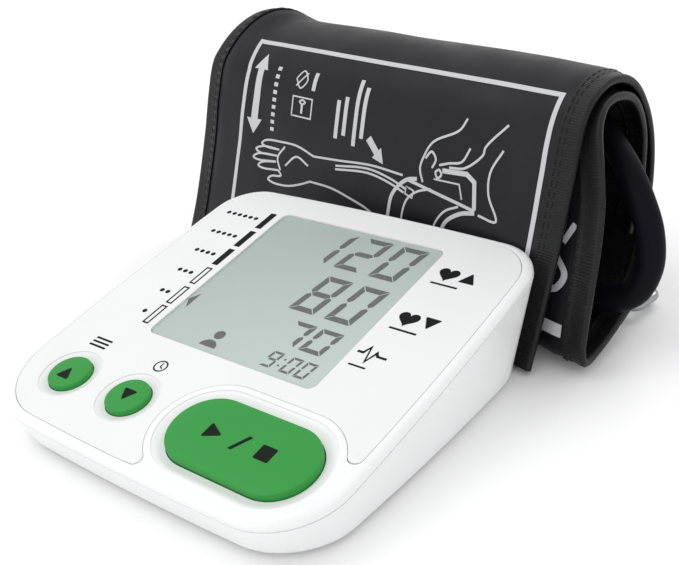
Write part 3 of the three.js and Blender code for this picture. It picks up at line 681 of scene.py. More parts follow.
def start_key():
    key_top("start_button", stadium, 0.3)
    # A generic start and stop sign: a triangle, a stroke and a square.
    build = Build()
    play = [(15.4, -52.4), (15.4, -57.6), (20.6, -55.0)]
    stroke = [(24.6, -57.6), (25.8, -57.6), (28.6, -52.1), (27.4, -52.1)]
    stop = [(32.4, -57.2), (37.0, -57.2), (37.0, -52.6), (32.4, -52.6)]
    for shape, radius in ((play, 0.5), (stroke, 0.2), (stop, 0.5)):
        badge(build, soften(shape, radius), START_TOP)
    build.piece("start_sign", KEY_PRINT, "start_button", slot="chip_black")


def round_keys():
    for name, (x, v) in KEYS.items():
        key_top(name, key_ring((x, v)), 0.25)
        way = 1 if name == "mem_button" else -1
        middle = v - 0.8 if way > 0 else v - 0.1
        sign = [(x - 2.5, middle - 2.1 * way), (x + 2.5, middle - 2.1 * way), (x, middle + 2.2 * way)]
        build = Build()
        badge(build, soften(sign if way > 0 else sign[::-1], 0.55), ROUND_TOP)
        build.piece(name + "_sign", KEY_PRINT, name, slot="chip_black")


def soften(points, radius):
    """Rounds the corners of a polygon."""
    steps = 5
    loop = []
    count = len(points)
    for i, corner in enumerate(points):
        c = Vector(corner)
        before = (Vector(points[i - 1]) - c).normalized()
        after = (Vector(points[(i + 1) % count]) - c).normalized()
        half = before.angle(after) / 2
        reach = radius / math.tan(half)
        a, b = c + before * reach, c + after * reach
        for k in range(steps + 1):
            t = k / steps
            loop.append(tuple(a.lerp(c, t).lerp(c.lerp(b, t), t)))
    return loop


PRINT_THICK, SEGMENT_THICK = 0.04, 0.02


def badge(build, loop, w, thickness=PRINT_THICK):
    """Thin printed mark standing on the face at height w."""
    build.loft([lifted(loop, w), lifted(loop, w + thickness)])
    build.region([loop], on_face(w))
    build.region([loop], on_face(w + thickness))


DISPLAY_BOTTOM, DISPLAY_TOP = -3.7, -0.55
WINDOW_BOTTOM, WINDOW_EDGE, WINDOW_TOP = -0.5, -0.3, -0.2


def window_loop(grow):
    return rounded_box(0, 0, WINDOW[0] + grow, WINDOW[1] + grow, WINDOW_RADIUS)


def display():
    build = Build()
    loop = window_loop(0.02)
    build.loft([lifted(loop, DISPLAY_BOTTOM), lifted(loop, DISPLAY_TOP)], caps=True)
    build.piece("display_glass", DISPLAY, "monitor", slot="lcd_grey", replaces=["lcd_panel"])
    build = Build()
    loop, inner = window_loop(-0.02), window_loop(-0.14)
    build.loft([lifted(loop, WINDOW_BOTTOM), lifted(loop, WINDOW_EDGE), lifted(inner, WINDOW_TOP)], caps=True)
    build.piece("display_window", LENS, "monitor", slot="lens_clear", replaces=["display_lens"])


SEGMENTS = {"0": "abcdef", "1": "bc", "2": "abged", "7": "abc", "8": "abcdefg", "9": "abcdfg"}
SLANT = math.tan(math.radians(8))


def digit(build, sign, x0, y0, width, height, stroke, w):
    gap = 0.1 + stroke * 0.05
    mid, half = height / 2, stroke / 2
    bar = [(gap, height), (width - gap, height), (width - stroke - gap, height - stroke),
           (stroke + gap, height - stroke)]
    side = [(0, height - gap), (stroke, height - stroke - gap), (stroke, mid + half + gap), (half, mid + gap),
            (0, mid + half)]
    cross = [(half + gap, mid), (stroke + gap, mid + half), (width - stroke - gap, mid + half),
             (width - half - gap, mid), (width - stroke - gap, mid - half), (stroke + gap, mid - half)]
    flip_x = lambda shape: [(width - x, y) for x, y in shape]
    flip_y = lambda shape: [(x, height - y) for x, y in shape]
    shapes = {"a": bar, "d": flip_y(bar), "g": cross, "f": side, "e": flip_y(side), "b": flip_x(side),
              "c": flip_x(flip_y(side))}
    for letter in SEGMENTS[sign]:
        loop = [(x0 + x + y * SLANT, y0 + y) for x, y in shapes[letter]]
        badge(build, loop, w, SEGMENT_THICK)


def display_marks():
    """Readings on the display: numbers, a pointer and a user sign."""
    build = Build()
    w = DISPLAY_TOP + 0.005
    # Each row: the signs' left ends, then their front, width, height and stroke.
    rows = [((("1", -10.7), ("2", 2.0), ("0", 14.7)), (14.2, 9.2, 16.1, 2.05)),
            ((("8", 1.8), ("0", 14.6)), (-6.8, 9.1, 16.7, 2.05)),
            ((("7", 6.9), ("0", 16.2)), (-20.3, 7.5, 9.9, 1.6)),
            ((("9", 9.9), ("0", 16.6), ("0", 21.5)), (-29.4, 3.7, 6.3, 0.8))]
    for signs, measures in rows:
        for sign, x0 in signs:
            digit(build, sign, x0, *measures, w)
    colon = [circle(15.2 + (v + 29.3) * SLANT, v, 0.38, 12) for v in (-27.6, -25.0)]
    pointer = [(-30.3, -15.1), (-28.1, -18.7), (-28.1, -11.5)]
    head = circle(-8.9, -24.3, 1.75, 28)
    low = -29.6
    shoulders = [(x, low + (v - low) * 0.93) for x, v in arc(-9.3, low, 3.0, 0, 180, 20)]
    for loop in (*colon, pointer, head, shoulders):
        badge(build, loop, w, SEGMENT_THICK)
    build.piece("display_digits", SEGMENT, "monitor", slot="chip_black")


def frame_loop(x0, y0, x1, y1):
    return [(x0, y0), (x1, y0), (x1, y1), (x0, y1)]


def heart(cx, cy, size):
    """Heart outline, point down."""
    loop = []
    for i in range(40):
        t = 2 * math.pi * i / 40
        x = 16 * math.sin(t) ** 3
        y = 13 * math.cos(t) - 5 * math.cos(2 * t) - 2 * math.cos(3 * t) - math.cos(4 * t)
        loop.append((cx + x * size / 32, cy + y * size / 32))
    return loop


def both_sides(points, width, sharpest, closed=False):
    """The two lines beside a polyline of that width; they meet squarely at its corners, and corners
    sharper than the limit are cut short."""
    left, right = [], []
    last = len(points) - 1
    for i, point in enumerate(points):
        before = (point - points[i - 1]).normalized() if i else (points[1] - point).normalized()
        after = (points[i + 1] - point).normalized() if i < last else before
        if closed and i in (0, last):
            before, after = (points[-1] - points[-2]).normalized(), (points[1] - points[0]).normalized()
        across = Vector((-(before.y + after.y), before.x + after.x)).normalized()
        reach = width / 2 / max(sharpest, across.dot(Vector((-after.y, after.x))))
        left.append(point + across * reach)
        right.append(point - across * reach)
    return left, right


def stroke_loop(points, width):
    """Closed outline of a polyline drawn with that width."""
    left, right = both_sides([Vector(p) for p in points], width, 0.5)
    return left + right[::-1]


def triangle(cx, cy, size, up):
    way = size / 2 if up else -size / 2
    return [(cx - size * 0.55, cy - way), (cx + size * 0.55, cy - way), (cx, cy + way)]


def framed(build, outer, inner, w):
    """A thin frame between two loops."""
    for height in (w, w + PRINT_THICK):
        build.region([outer, inner], on_face(height))
    for loop in (outer, inner):
        build.loft([lifted(loop, w), lifted(loop, w + PRINT_THICK)])


def printed_marks():
    """Print on the face: the level scale beside the display and plain signs for keys and readings."""
    build = Build()
    w = 0.005
    left, right, line = -35.5, -33.1, 0.55
    bars = [(30.5, 21.8), (19.9, 11.2), (9.5, 0.9), (-0.9, -9.4), (-11.2, -19.7), (-20.9, -29.6)]
    filled_bars = 3
    for row, (high, low) in enumerate(bars):
        outer = frame_loop(left, low, right, high)
        if row < filled_bars:
            badge(build, outer, w)
        else:
            framed(build, outer, frame_loop(left + line, low + line, right - line, high - line), w)
        for k in range(len(bars) - row):
            badge(build, circle(left - 3.2 - 2.4 * k, (high + low) / 2, 0.8, 20), w)
    # High reading: heart and upward arrow; low reading: heart and downward arrow; pulse: a wave.
    for (x, v), up in (((37.2, 22.6), True), ((37.6, 1.6), False)):
        badge(build, heart(x, v, 6.4), w)
        badge(build, soften(triangle(x + 6.6, v + 0.3, 4.6, up)[::1 if up else -1], 0.3), w)
        badge(build, frame_loop(x - 3.0, v - 5.2, x + 5.6, v - 4.5), w)
    wave = [(32.4, -14.6), (34.2, -14.6), (35.2, -12.0), (36.6, -17.6), (37.9, -13.4), (38.7, -14.6),
            (41.6, -14.6)]
    badge(build, stroke_loop(wave, 0.8), w)
    badge(build, frame_loop(33.0, -20.0, 38.4, -19.4), w)
    # Over the round keys: three stacked lines for the memory, a clock face for the setting.
    for k in range(3):
        badge(build, frame_loop(-43.4, -43.6 + 1.5 * k, -36.8, -42.9 + 1.5 * k), w)
    framed(build, *[circle(-15.0, -41.8, radius, 36) for radius in (2.2, 1.75)], w)
    badge(build, stroke_loop([(-15.0, -40.5), (-15.0, -41.9), (-14.0, -42.5)], 0.4), w)
    build.piece("face_print", PRINT, "monitor", slot="chip_black")


# ---- the other nodes keep their CAD shape
PLAIN_NODES = [
    (LIGHT_GUIDE, "lcd_backlight"), (ZEBRA, "contact_strip"), (BOARD, "circuit_board"),
    (VALVE, "release_valve"), (SOCKET_WHITE, "air_socket tee_fitting"), (WHITE, "battery_cover"),
    (BLADDER, "air_bladder"), (SILICONE, "pump_tube socket_tube valve_tube sensor_tube"),
    (HOOKS, "hook_patch loop_patch"),
    (CLOTH, "ring_loop"), (CHROME_PAINTED_SHADE, "metal_ring"), (CELL, "battery_1 battery_2 battery_3 battery_4"),
    (BLACK, "controller_chip pump_head power_jack pressure_sensor buzzer hose_port air_plug"),
    (STEEL, "start_switch mem_switch set_switch pump_motor pump_shaft valve_plunger battery_bridge"),
    (STEEL, "battery_contact_plus battery_contact_minus case_screw_1 case_screw_2 case_screw_3 case_screw_4"),
    (FOOT, "foot_1 foot_2 foot_3 foot_4"),
]
for look, names in PLAIN_NODES:
    for name in names.split():
        slots = frame["nodes"][name].data.materials
        slots.clear()
        slots.append(look)


# ---- air hose
HOSE_POINTS = [(-44, 45, 60.8), (-30, 45, 60.9), (-6, 45, 60.9), (20, 45, 60.9), (46, 45, 60.8),
               (58, 44.4, 60.3), (66, 41.5, 59.1), (73, 37.3, 56.7), (80, 33.6, 52.1), (86, 31.2, 45),
               (90.2, 30, 36.1), (91.2, 28.8, 25.9), (88, 26.8, 17.9), (80, 25, 14.2), (68, 24.4, 13.8),
               (46, 24.4, 13.8), (20, 24.4, 13.8), (-6, 24.4, 13.8), (-30, 24.4, 13.8), (-45, 24.8, 14.1),
               (-57, 27, 17.3), (-65.9, 30.6, 25.5), (-69.1, 33.4, 36.7), (-65.9, 35.4, 48.5),
               (-57, 36.2, 56.7), (-45, 36.4, 59.7), (-30, 36.5, 60.1), (-6, 36.5, 60.1), (12, 36.5, 60.1),
               (30, 36.5, 60.1)]
HOSE_DIAMETER = 8


def smooth_path(points, per_span):
    """Centripetal Catmull-Rom curve through the points."""
    points = [Vector(p) for p in points]
    points = [points[0] * 2 - points[1], *points, points[-1] * 2 - points[-2]]
    path = []
    for p0, p1, p2, p3 in zip(points, points[1:], points[2:], points[3:]):
        t = [0.0]
        for a, b in ((p0, p1), (p1, p2), (p2, p3)):
            t.append(t[-1] + math.sqrt((b - a).length))
        for i in range(per_span):
            u = t[1] + (t[2] - t[1]) * i / per_span
            a1 = p0.lerp(p1, (u - t[0]) / (t[1] - t[0]))
            a2 = p1.lerp(p2, (u - t[1]) / (t[2] - t[1]))
            a3 = p2.lerp(p3, (u - t[2]) / (t[3] - t[2]))
            b1 = a1.lerp(a2, (u - t[0]) / (t[2] - t[0]))
            b2 = a2.lerp(a3, (u - t[1]) / (t[3] - t[1]))
            path.append(b1.lerp(b2, (u - t[1]) / (t[2] - t[1])))
    path.append(points[-2])
    return path


def air_hose():
    path = [cuff(*p) for p in smooth_path(HOSE_POINTS, 6)]
    curve = bpy.data.curves.new("hose", "CURVE")
    curve.dimensions = "3D"
    curve.bevel_depth = HOSE_DIAMETER / 2 * MM
    curve.bevel_resolution = 8
    curve.use_fill_caps = True
    spline = curve.splines.new("POLY")
    spline.points.add(len(path) - 1)
    for point, place in zip(spline.points, path):
        point.co = (*place, 1)
    spline.use_smooth = True
    curve.materials.append(HOSE)
    hose = add("hose", curve)
    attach(hose, "cuff")
    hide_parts("air_hose")
    length = sum((b - a).length for a, b in zip(path, path[1:]))


air_hose()


# ---- rolled cuff
ROLL_POINTS = [(0.5, 1.6), (4, 12), (8, 26), (11.5, 40.1), (14.6, 54.2), (18.4, 65.7), (25.5, 73.7),
               (35.5, 77.1), (46, 75.3), (54.8, 68.8), (59.9, 58.7), (61.4, 45.2), (59.4, 31.1), (54, 20),
               (46.5, 13), (38.5, 10), (31, 7.6), (24, 5.4), (18.5, 4.2), (14, 3.8), (11.2, 5),
               (10.3, 8.4), (11.2, 13), (13, 19.5), (15.8, 29), (18.9, 40.1), (21.8, 54.2), (25, 63.5),
               (31.3, 69), (38.5, 70.4), (46.6, 68.3), (52.9, 60.2), (54.7, 48.2), (53.4, 36), (50.4, 27)]
# How far each end of the cloth stands out past its even width, along the roll.
LEFT_OUT = ((0, 0.12, 0.2, 0.3, 1), (17.5, 12.5, 10, -2, -2))
RIGHT_OUT = ((0, 0.24, 0.42, 0.52, 0.62, 0.7, 0.82, 1), (-2, 0, 1, 7, 11, 8, 2, 0))
# How far the right end's back lies forward, along the roll.
BACK_PULL = ((0.19, 0.27, 0.33, 0.42, 0.52, 0.74, 0.82, 0.9, 1), (0, 5, 8, 8, 0, 0, 4.5, 6, 6))
CUFF_EDGE = 75
CLOTH_HALF = 1.9
TAPE_WIDTH = 5.5
EDGE_ZONE = 18               # the cloth lies flatter this near the tapes
FIRST_TURN = 130             # length of the outer turn's front and top
PINCH_START, PINCH_WIDTH, PINCH_SHARE = 66.5, 6, 0.55
RIGHT_END = (25, 50)         # where the right end's own shape starts, and over what width it grows


class Roll:
    """The rolled cloth's centre line by arc length, in millimetres, in the cuff's own frame."""

    def __init__(self):
        path = smooth_path([(0, y, z) for y, z in ROLL_POINTS], 24)
        self.y = np.array([p.y for p in path])
        self.z = np.array([p.z for p in path])
        steps = np.hypot(np.diff(self.y), np.diff(self.z))
        self.s = np.concatenate([[0], np.cumsum(steps)])
        self.length = float(self.s[-1])

    def at(self, s):
        y, z = np.interp(s, self.s, self.y), np.interp(s, self.s, self.z)
        step = 0.6
        a, b = max(s - step, 0), min(s + step, self.length)
        dy = np.interp(b, self.s, self.y) - np.interp(a, self.s, self.y)
        dz = np.interp(b, self.s, self.z) - np.interp(a, self.s, self.z)
        size = math.hypot(dy, dz)
        return y, z, dy / size, dz / size


ROLL = Roll()


def bell(value, middle, width):
    return math.exp(-((value - middle) / width) ** 2)


def ripple(x, s):
    """How far the cloth stands off its path: soft folds, the slack top and its raised left corner."""
    near_edge = min(1.0, (CUFF_EDGE - abs(x)) / EDGE_ZONE)
    broad = noise.noise(Vector((x * 0.022, s * 0.020, 3.1)))
    small = noise.noise(Vector((x * 0.060 + 9, s * 0.055, 7.7)))
    first_turn = 1 if s < FIRST_TURN else 0
    slack = -1.0 * bell(x, 15, 45) * bell(s, 88, 26)
    corner = 3.4 * bell(x, -72, 8) * bell(s, 92, 13)
    crease = 0.5 * bell(x + 0.35 * s, -30, 5) * bell(s, 45, 40) * near_edge
    return 0.6 * broad * (0.4 + 0.6 * near_edge) + 0.22 * small + (slack + corner - crease) * first_turn


def spread_across(x, s):
    places, amounts = LEFT_OUT if x < 0 else RIGHT_OUT
    return x * (1 + float(np.interp(s / ROLL.length, places, amounts)) / CUFF_EDGE)


def on_roll(x, s, off):
    """Point on the roll. The tapes pinch the layers together at the edges, and at the right end the
    lower folds and the back lie further forward and the inner turn a little higher."""
    y, z, ty, tz = ROLL.at(s)
    pinch = min(1.0, max(0.0, (abs(x) - PINCH_START) / PINCH_WIDTH))
    off = off * (1 - PINCH_SHARE * pinch * pinch * (3 - 2 * pinch)) + ripple(x, s)
    y, z = y - tz * off, max(z + ty * off, 0.15)
    part = s / ROLL.length
    end = max(0.0, (x - RIGHT_END[0]) / RIGHT_END[1]) ** 2
    low = (4.5 if part < 0.3 else 7.5 * bell(part, 0.63, 0.13)) * max(0.0, 1 - z / 54)
    back = float(np.interp(part, BACK_PULL[0], BACK_PULL[1]))
    lift = 4.2 * bell(part, 0.775, 0.08)
    return cuff(spread_across(x, s), y - (low + back) * end, z + lift * end)


def roll_piece(name, material, slot, section, stations, replaces, crumple=0.0):
    """Sweeps a closed (x, height) section along the roll; its UV is in metres, across and along."""
    mesh_points = []
    for s in stations:
        for x, off in section:
            extra = crumple * abs(noise.noise(Vector((x * 0.11, s * 0.13, 2.2))))
            mesh_points.append(on_roll(x, s, off - extra))
    count = len(section)
    build = Build()
    verts = build.ring(mesh_points)
    rings = [verts[k * count:(k + 1) * count] for k in range(len(stations))]

    def face(corners, marks):
        made = build.bm.faces.new(corners)
        for loop, mark in zip(made.loops, marks):
            loop[build.uv].uv = mark

    for k, (low, high) in enumerate(zip(rings, rings[1:])):
        a, b = stations[k] * MM, stations[k + 1] * MM
        for i in range(count):
            j = (i + 1) % count
            x0, x1 = section[i][0] * MM, section[j][0] * MM
            face((low[i], low[j], high[j], high[i]), ((x0, a), (x1, a), (x1, b), (x0, b)))
    build.bm.faces.new(rings[0][::-1])
    build.bm.faces.new(rings[-1])
    return build.piece(name, material, "cuff", 55, slot=slot, replaces=replaces)


def stations_between(first, last, step=1.5):
    count = int((last - first) / step)
    return [first + (last - first) * k / count for k in range(count + 1)]


def flat_section(x0, x1, low, high, across=70):
    xs = [x0 + (x1 - x0) * i / across for i in range(across + 1)]
    return [(x, low) for x in xs] + [(x, high) for x in reversed(xs)]


def cuff_cloth():
    whole = stations_between(0, ROLL.length)
    layer = flat_section(-CUFF_EDGE, CUFF_EDGE, 0.6, CLOTH_HALF)
    outer = roll_piece("cuff_shell", CLOTH, "cuff_cloth", layer, whole, ["cuff_outer_cloth"])
    layer = flat_section(-CUFF_EDGE, CUFF_EDGE, -CLOTH_HALF, -0.9)
    inner = roll_piece("cuff_inside", LINING, "cuff_lining", layer, whole, ["cuff_lining"], crumple=0.9)
    # The patches and the bladder, along the roll in parts of its length.
    step = ROLL.length / 62
    roll_piece("hooks", HOOKS, "hook_tape", flat_section(-60, 60, -3.0, -CLOTH_HALF - 0.3, 40),
               stations_between(step, 8 * step), ["hook_patch"])
    roll_piece("loops", HOOKS, "hook_tape", flat_section(-62, 62, CLOTH_HALF + 0.2, 2.7, 40),
               stations_between(20 * step, 26 * step), ["loop_patch"])
    roll_piece("bladder", BLADDER, "bladder_grey", flat_section(-64, 62, -0.6, 0.3, 30),
               stations_between(21 * step, 54 * step, 3), ["air_bladder"])


def binding(side):
    """Folded tape over a cut edge of the cuff, with a rounded fold and two rows of stitches."""
    inner, edge = CUFF_EDGE - TAPE_WIDTH, CUFF_EDGE + 0.3
    half, thick = 2.15, 0.7
    outer_fold = [(edge + (x - edge) * 0.38, off) for x, off in arc(edge, 0, half + thick, -90, 90, 10)]
    inner_fold = [(edge + (x - edge) * 0.1, off) for x, off in arc(edge, 0, half, 90, -90, 6)]
    across = [inner + 0.4 + (edge - inner - 0.4) * i / 8 for i in range(8)]
    section = [(inner, -half - thick + 0.25), *[(x, -half - thick) for x in across], *outer_fold,
               *[(x, half + thick) for x in reversed(across)], (inner, half + thick - 0.25), (inner, half),
               *inner_fold, (inner, -half)]
    name = "right" if side > 0 else "left"
    section = [(x * side, off) for x, off in section]
    whole = stations_between(0, ROLL.length)
    roll_piece(f"tape_{name}", TAPE, "binding_tape", section, whole, [f"edge_tape_{name}"])
    stitches(name, side, (inner + 0.9, inner + 2.3), half + thick)


def stitches(name, side, columns, off):
    build = Build()
    length, pitch, radius = 2.1, 2.9, 0.2
    first, end = 2.0, ROLL.length - 3
    course = ((0, 0.5, -0.1), (0.2, 1, 0.1), (0.8, 1, 0.1), (1, 0.5, -0.1))
    for face_side in (1, -1):
        for x in columns:
            s = first
            while s < end:
                build.loft([[on_roll(x * side + out, s + length * t, face_side * (off + lift + rise))
                             for out, rise in circle(0, 0, radius * size, 6)]
                            for t, size, lift in course], caps=True)
                s += pitch
    build.piece(f"stitches_{name}", THREAD, "cuff", 60, weld=1e-7, slot="binding_tape")


PRINT_RISE = 4.6             # print above where its drawing's own numbers put it


def print_line(build, points, width, closed=False):
    """A printed line on the outside of the cuff, through (x, s) points, following the cloth."""
    points = [Vector(p) for p in points] + ([Vector(points[0])] if closed else [])
    fine = []
    for a, b in zip(points, points[1:]):
        steps = max(1, int((b - a).length / 1.2))
        fine += [a.lerp(b, k / steps) for k in range(steps)]
    fine.append(points[-1])
    left, right = both_sides(fine, width, 0.6, closed)
    print_band(build, left, right)


def print_band(build, left, right):
    """Thin print between two lines of (x, s) points, standing on the cloth."""
    off = CLOTH_HALF + 0.03
    high = off + 0.07
    rings = []
    for (x0, s0), (x1, s1) in zip(left, right):
        corners = ((x0, s0, off), (x0, s0, high), (x1, s1, high), (x1, s1, off))
        rings.append([on_roll(x, s + PRINT_RISE, out) for x, s, out in corners])
    build.loft(rings, caps=True)


def arrow(build, tail, tip, width, head):
    tail, tip = Vector(tail), Vector(tip)
    way = (tip - tail).normalized()
    across = Vector((-way.y, way.x)) * head / 2
    neck = tip - way * head * 0.85
    print_line(build, [tail, neck], width)
    middles = [(neck.lerp(tip, k / 8), 1 - k / 8 + 0.01) for k in range(9)]
    left, right = [[at + across * size * way for at, size in middles] for way in (1, -1)]
    print_band(build, left, right)


def curve_through(points):
    return [(p.x, p.y) for p in smooth_path([(x, s, 0) for x, s in points], 6)]


PRINT_STRAIGHT = [             # width, then lines that are straight from point to point
    (1.5, [[(-57, 6), (-56.8, 30), (-56.2, 48), (-56.2, 61), (-58, 71.7), (66.6, 71.7), (67.3, 6)],
           [(-25.6, 58.6), (-25.6, 64.4)], [(31.5, 43.6), (41, 44.4), (44.2, 42.6), (45.2, 34.4)]]),
    (1.5, [[(x, low), (x, high)] for x, low, high in
           ((-14.2, 45, 57.5), (-11.0, 46.5, 59), (-6.6, 44, 65), (-3.6, 47, 63))]),
    (1.7, [[(-42.2, 42 + 2.6 * k), (-42.2, 43.3 + 2.6 * k)] for k in range(9)]),
    (0.5, [[(-33.2, 59.2), (-29.2, 63.8)], [(28.4, 40.4), (38.5, 40.8), (40, 36.4)]]),
    (0.9, [[(-29.6, 53.4), (-29.6, 50.4)]]),
    (1.0, [[(17.5, 38), (45.5, 34)]]),
]
PRINT_BOXES = [[(-33.8, 49.2), (-25.4, 49.2), (-25.4, 55.8), (-33.8, 55.8)],
               [(17.4, 35.8), (20.6, 35), (20.2, 32.6), (17.2, 33.4)]]
PRINT_CURVES = [               # width, then lines that run smoothly through their points
    (0.5, [[(-33.6, 61.5), (-31.2, 64.3), (-28.8, 61.5), (-31.2, 58.7), (-33.6, 61.5)]]),
    (0.6, [[(-30.9, 54.3), (-29.6, 55.0), (-28.3, 54.3), (-29.6, 53.6), (-30.9, 54.3)]]),
    (1.3, [[(11, 18), (11, 27), (11.6, 31.5), (13.8, 35), (17.5, 38), (21.5, 39)],
           [(33, 24), (35, 28.5), (40, 32), (45.5, 33.5)]]),
    (0.72, [[(-22.5, 37), (-30, 39), (-37, 39), (-45, 38), (-46.4, 36.6), (-44.5, 35.8), (-38, 36)],
            [(-38, 36), (-46, 35.6), (-48.6, 34.2), (-47, 33.2), (-38.5, 33.6)],
            [(-38.5, 33.6), (-47.5, 32.6), (-49.4, 31.0), (-47.5, 30.4), (-39, 31.4)],
            [(-39, 31.4), (-45.5, 29.8), (-46.8, 28.4), (-44.8, 27.8), (-37.5, 28.6)],
            [(-37.5, 28.6), (-36, 27), (-40.5, 25.8), (-41.8, 24.4), (-39.8, 23.6), (-33, 24), (-28, 25.6),
             (-23, 28)],
            [(-23, 28), (-14, 28), (-6, 26.6), (2, 24.6), (10, 21)],
            [(-22.5, 37), (-12, 38), (1, 39.4), (15.5, 39)],
            [(-35.5, 37.6), (-38.4, 33), (-36.6, 28.8)], [(-34.5, 31), (-30, 35.2), (-24.5, 33.2)],
            [(-13, 36), (0, 38), (10.5, 36.8), (17.5, 34.8)],
            [(-13, 34.8), (0, 36.6), (10, 35.4), (16.6, 33.6)],
            [(17, 20), (17, 28), (18.4, 32), (22, 35), (27.5, 37)],
            [(30, 24), (31, 27.5), (34, 31.5), (39, 34)],
            [(38, 60), (36, 56.5), (26.5, 51.4), (23.5, 46.5), (22.4, 42.5), (24, 38.5)],
            [(24.2, 46), (26.4, 48.4), (28.4, 46.4), (27.2, 43.6)],
            [(53, 60.5), (46.4, 53.2), (46, 51), (40, 46), (34, 45)],
            [(41, 52), (38.6, 47.6), (33.6, 46.2), (30, 45)],
            [(53, 53.5), (49.6, 46.5), (50, 40), (54, 33), (47, 33.2)],
            [(28.6, 42.6), (30.2, 43.6), (31.2, 42.2), (29.8, 41), (28.6, 42.6)]]),
]
PRINT_ARROWS = [((-50.7, 52), (-50.7, 39.5), 2.8, 6.4), ((-50.7, 51.9), (-50.7, 67.6), 2.8, 6.4),
                ((-0.6, 47.8), (6.6, 40.8), 2.5, 5.2)]
SECOND_TURN = 0.655          # where a mark is seen past the edge of the outer turn


def cuff_print():
    """Plain line drawing of how the cuff goes on: frame, pointers, forearm, tube and a pulling hand."""
    build = Build()
    for width, lines in PRINT_STRAIGHT:
        for points in lines:
            print_line(build, points, width)
    for points in PRINT_BOXES:
        print_line(build, points, 0.5, closed=True)
    for width, lines in PRINT_CURVES:
        for points in lines:
            print_line(build, curve_through(points), width)
    for pointer in PRINT_ARROWS:
        arrow(build, *pointer)
    tail = ROLL.length * SECOND_TURN
    print_line(build, [(60, tail - 10.5), (69, tail - 10.5)], 3.4)
    print_line(build, curve_through([(61, tail - 1), (65.6, tail), (67.6, tail + 4), (64.5, tail + 8)]), 1.8)
    print_line(build, [(66, tail + 12), (69, tail + 17)], 1.6)
    build.piece("cuff_print", PRINT_GREY, "cuff", 60, weld=1e-7, slot="cuff_cloth")


LOOP_RADII = (3.1, 2.05)
LOOP_SHORT = 18              # how much sooner than the ring's straight bar it ends, at each end


def ring_loop():
    """Sewn loop round the ring's front bar."""
    build = Build()
    half = RING["half_length"] - RING["corner"] - LOOP_SHORT
    y0, z0 = RING["y"], RING["z"]
    outer, bore = [circle(y0, z0, radius, 28) for radius in LOOP_RADII]
    xs = [-half + 2 * half * i / 40 for i in range(41)]

    def swell(x, loop, amount):
        wave = amount * noise.noise(Vector((x * 0.09, 4.4, 0.3)))
        return [cuff(x, y0 + (y - y0) * (1 + wave), z0 + (z - z0) * (1 + wave)) for y, z in loop]

    rings = [swell(x, outer, 0.06) for x in xs] + [swell(x, bore, 0.0) for x in reversed(xs)]
    build.loft(rings, closed=True)
    build.piece("loop_sleeve", CLOTH, "cuff", 50, slot="cuff_cloth", replaces=["ring_loop"])


def metal_ring():
    """Oblong ring of round bar, as one closed sweep."""
    build = Build()
    corner, half, depth = RING["corner"], RING["half_length"], RING["depth"]
    loop = rounded_box(0, depth / 2, half, depth / 2, corner)
    count = len(loop)
    rings = []
    for i, (x, y) in enumerate(loop):
        before, after = loop[i - 1], loop[(i + 1) % count]
        tangent = Vector((after[0] - before[0], after[1] - before[1])).normalized()
        outward = Vector((tangent.y, -tangent.x))
        centre = Vector((x, y)) - outward * RING["bar"]
        section = [(centre + outward * out, rise) for out, rise in circle(0, 0, RING_ROUND, 16)]
        rings.append([cuff(at.x, RING["y"] + at.y, RING["z"] + rise) for at, rise in section])
    build.loft(rings, closed=True)
    build.piece("ring_bar", CHROME_PAINTED_SHADE, "metal_ring", 60, slot="chrome_bar", replaces=["metal_ring"])


PLUG_PROFILE = [(0.01, 0), (3.7, 0), (4.1, 0.5), (4.2, 1.2), (4.2, 2.6), (3.9, 3.0), (4.2, 3.4), (4.2, 4.6),
                (3.9, 5.0), (4.2, 5.4), (4.2, 11.6), (3.9, 12.4), (3.5, 13), (3.5, 15), (3.1, 15.5), (2.9, 15.6),
                (2.9, 19), (2.65, 19.3), (2.65, 20.4), (2.9, 20.7), (2.9, 24), (2.4, 25), (1.0, 25), (1.0, 20),
                (0.01, 20)]
SPIGOT_PROFILE = [(0.01, -8), (3, -8), (3, -1.2), (3.2, -1), (2.9, -0.3), (1.4, -0.3), (1.4, -3), (0.01, -3)]


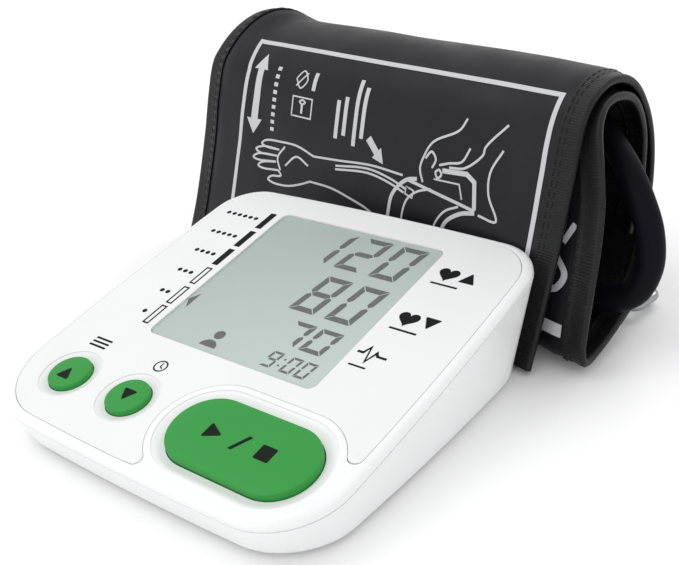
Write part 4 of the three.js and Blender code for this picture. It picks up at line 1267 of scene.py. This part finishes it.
def plug_and_port():
    build = Build()
    x0, y0, z0 = HOSE_POINTS[-1]
    lathe(build, PLUG_PROFILE, lambda a, b, h: cuff(x0 + 0.3 + h, y0 + a, z0 + b), 40)
    build.piece("plug_body", BLACK, "cuff", slot="black_plastic", replaces=["air_plug"])
    build = Build()
    x0, y0, z0 = HOSE_POINTS[0]
    lathe(build, SPIGOT_PROFILE, lambda a, b, h: cuff(x0 + h, y0 + a, z0 + b), 32)
    foot = rounded_box(x0 - 10.5, y0 - 1, 3.5, 3.6, 1.2, 5)
    build.loft([[cuff(x, y, z) for x, y in foot] for z in (z0 - 4, z0 + 3.2)], caps=True)
    build.piece("port_body", BLACK, "cuff", slot="black_plastic", replaces=["hose_port"])


# ---- everything in its turn
cuff_cloth()
binding(1)
binding(-1)
cuff_print()
ring_loop()
metal_ring()
plug_and_port()
top_housing()
face_panel()
bottom_housing()
start_key()
round_keys()
display()
display_marks()
printed_marks()


# ---- studio
FLOOR_HALF = 1.6
WORLD_STRENGTH = 0.93
LIGHTS = [("key", (-0.45, -0.30, 0.95), 1.9, 0.6), ("fill", (0.75, -0.55, 0.65), 0.6, 0.8),
          ("back", (0.10, 0.85, 0.75), 2.0, 0.5), ("front", (-0.25, -0.95, 0.30), 1.3, 0.7)]


def studio():
    build = Build()
    corners = frame_loop(-FLOOR_HALF, -FLOOR_HALF, FLOOR_HALF, FLOOR_HALF)
    build.bm.faces.new(build.ring([Vector((x, y, 0)) for x, y in corners]))
    mesh = bpy.data.meshes.new("floor")
    build.bm.to_mesh(mesh)
    floor_look = new_material("floor", (0.93, 0.93, 0.93), 0.6)
    bump(floor_look, add_noise(floor_look, 40, 2), 0.02, 0.0002)
    mesh.materials.append(floor_look)
    floor = add("floor", mesh)

    world = bpy.data.worlds.new("world")
    world.use_nodes = True
    sky = world.node_tree.nodes["Background"].inputs
    sky["Color"].default_value = (1, 1, 1, 1)
    sky["Strength"].default_value = WORLD_STRENGTH
    bpy.context.scene.world = world
    for name, place, power, size in LIGHTS:
        data = bpy.data.lights.new(name, "AREA")
        data.energy = power
        data.size = size
        lamp = add(name, data)
        lamp.location = place
        lamp.rotation_euler = (Vector((0, 0, 0.02)) - Vector(place)).to_track_quat("-Z", "Y").to_euler()
    bpy.context.scene.view_settings.view_transform = "Standard"


studio()
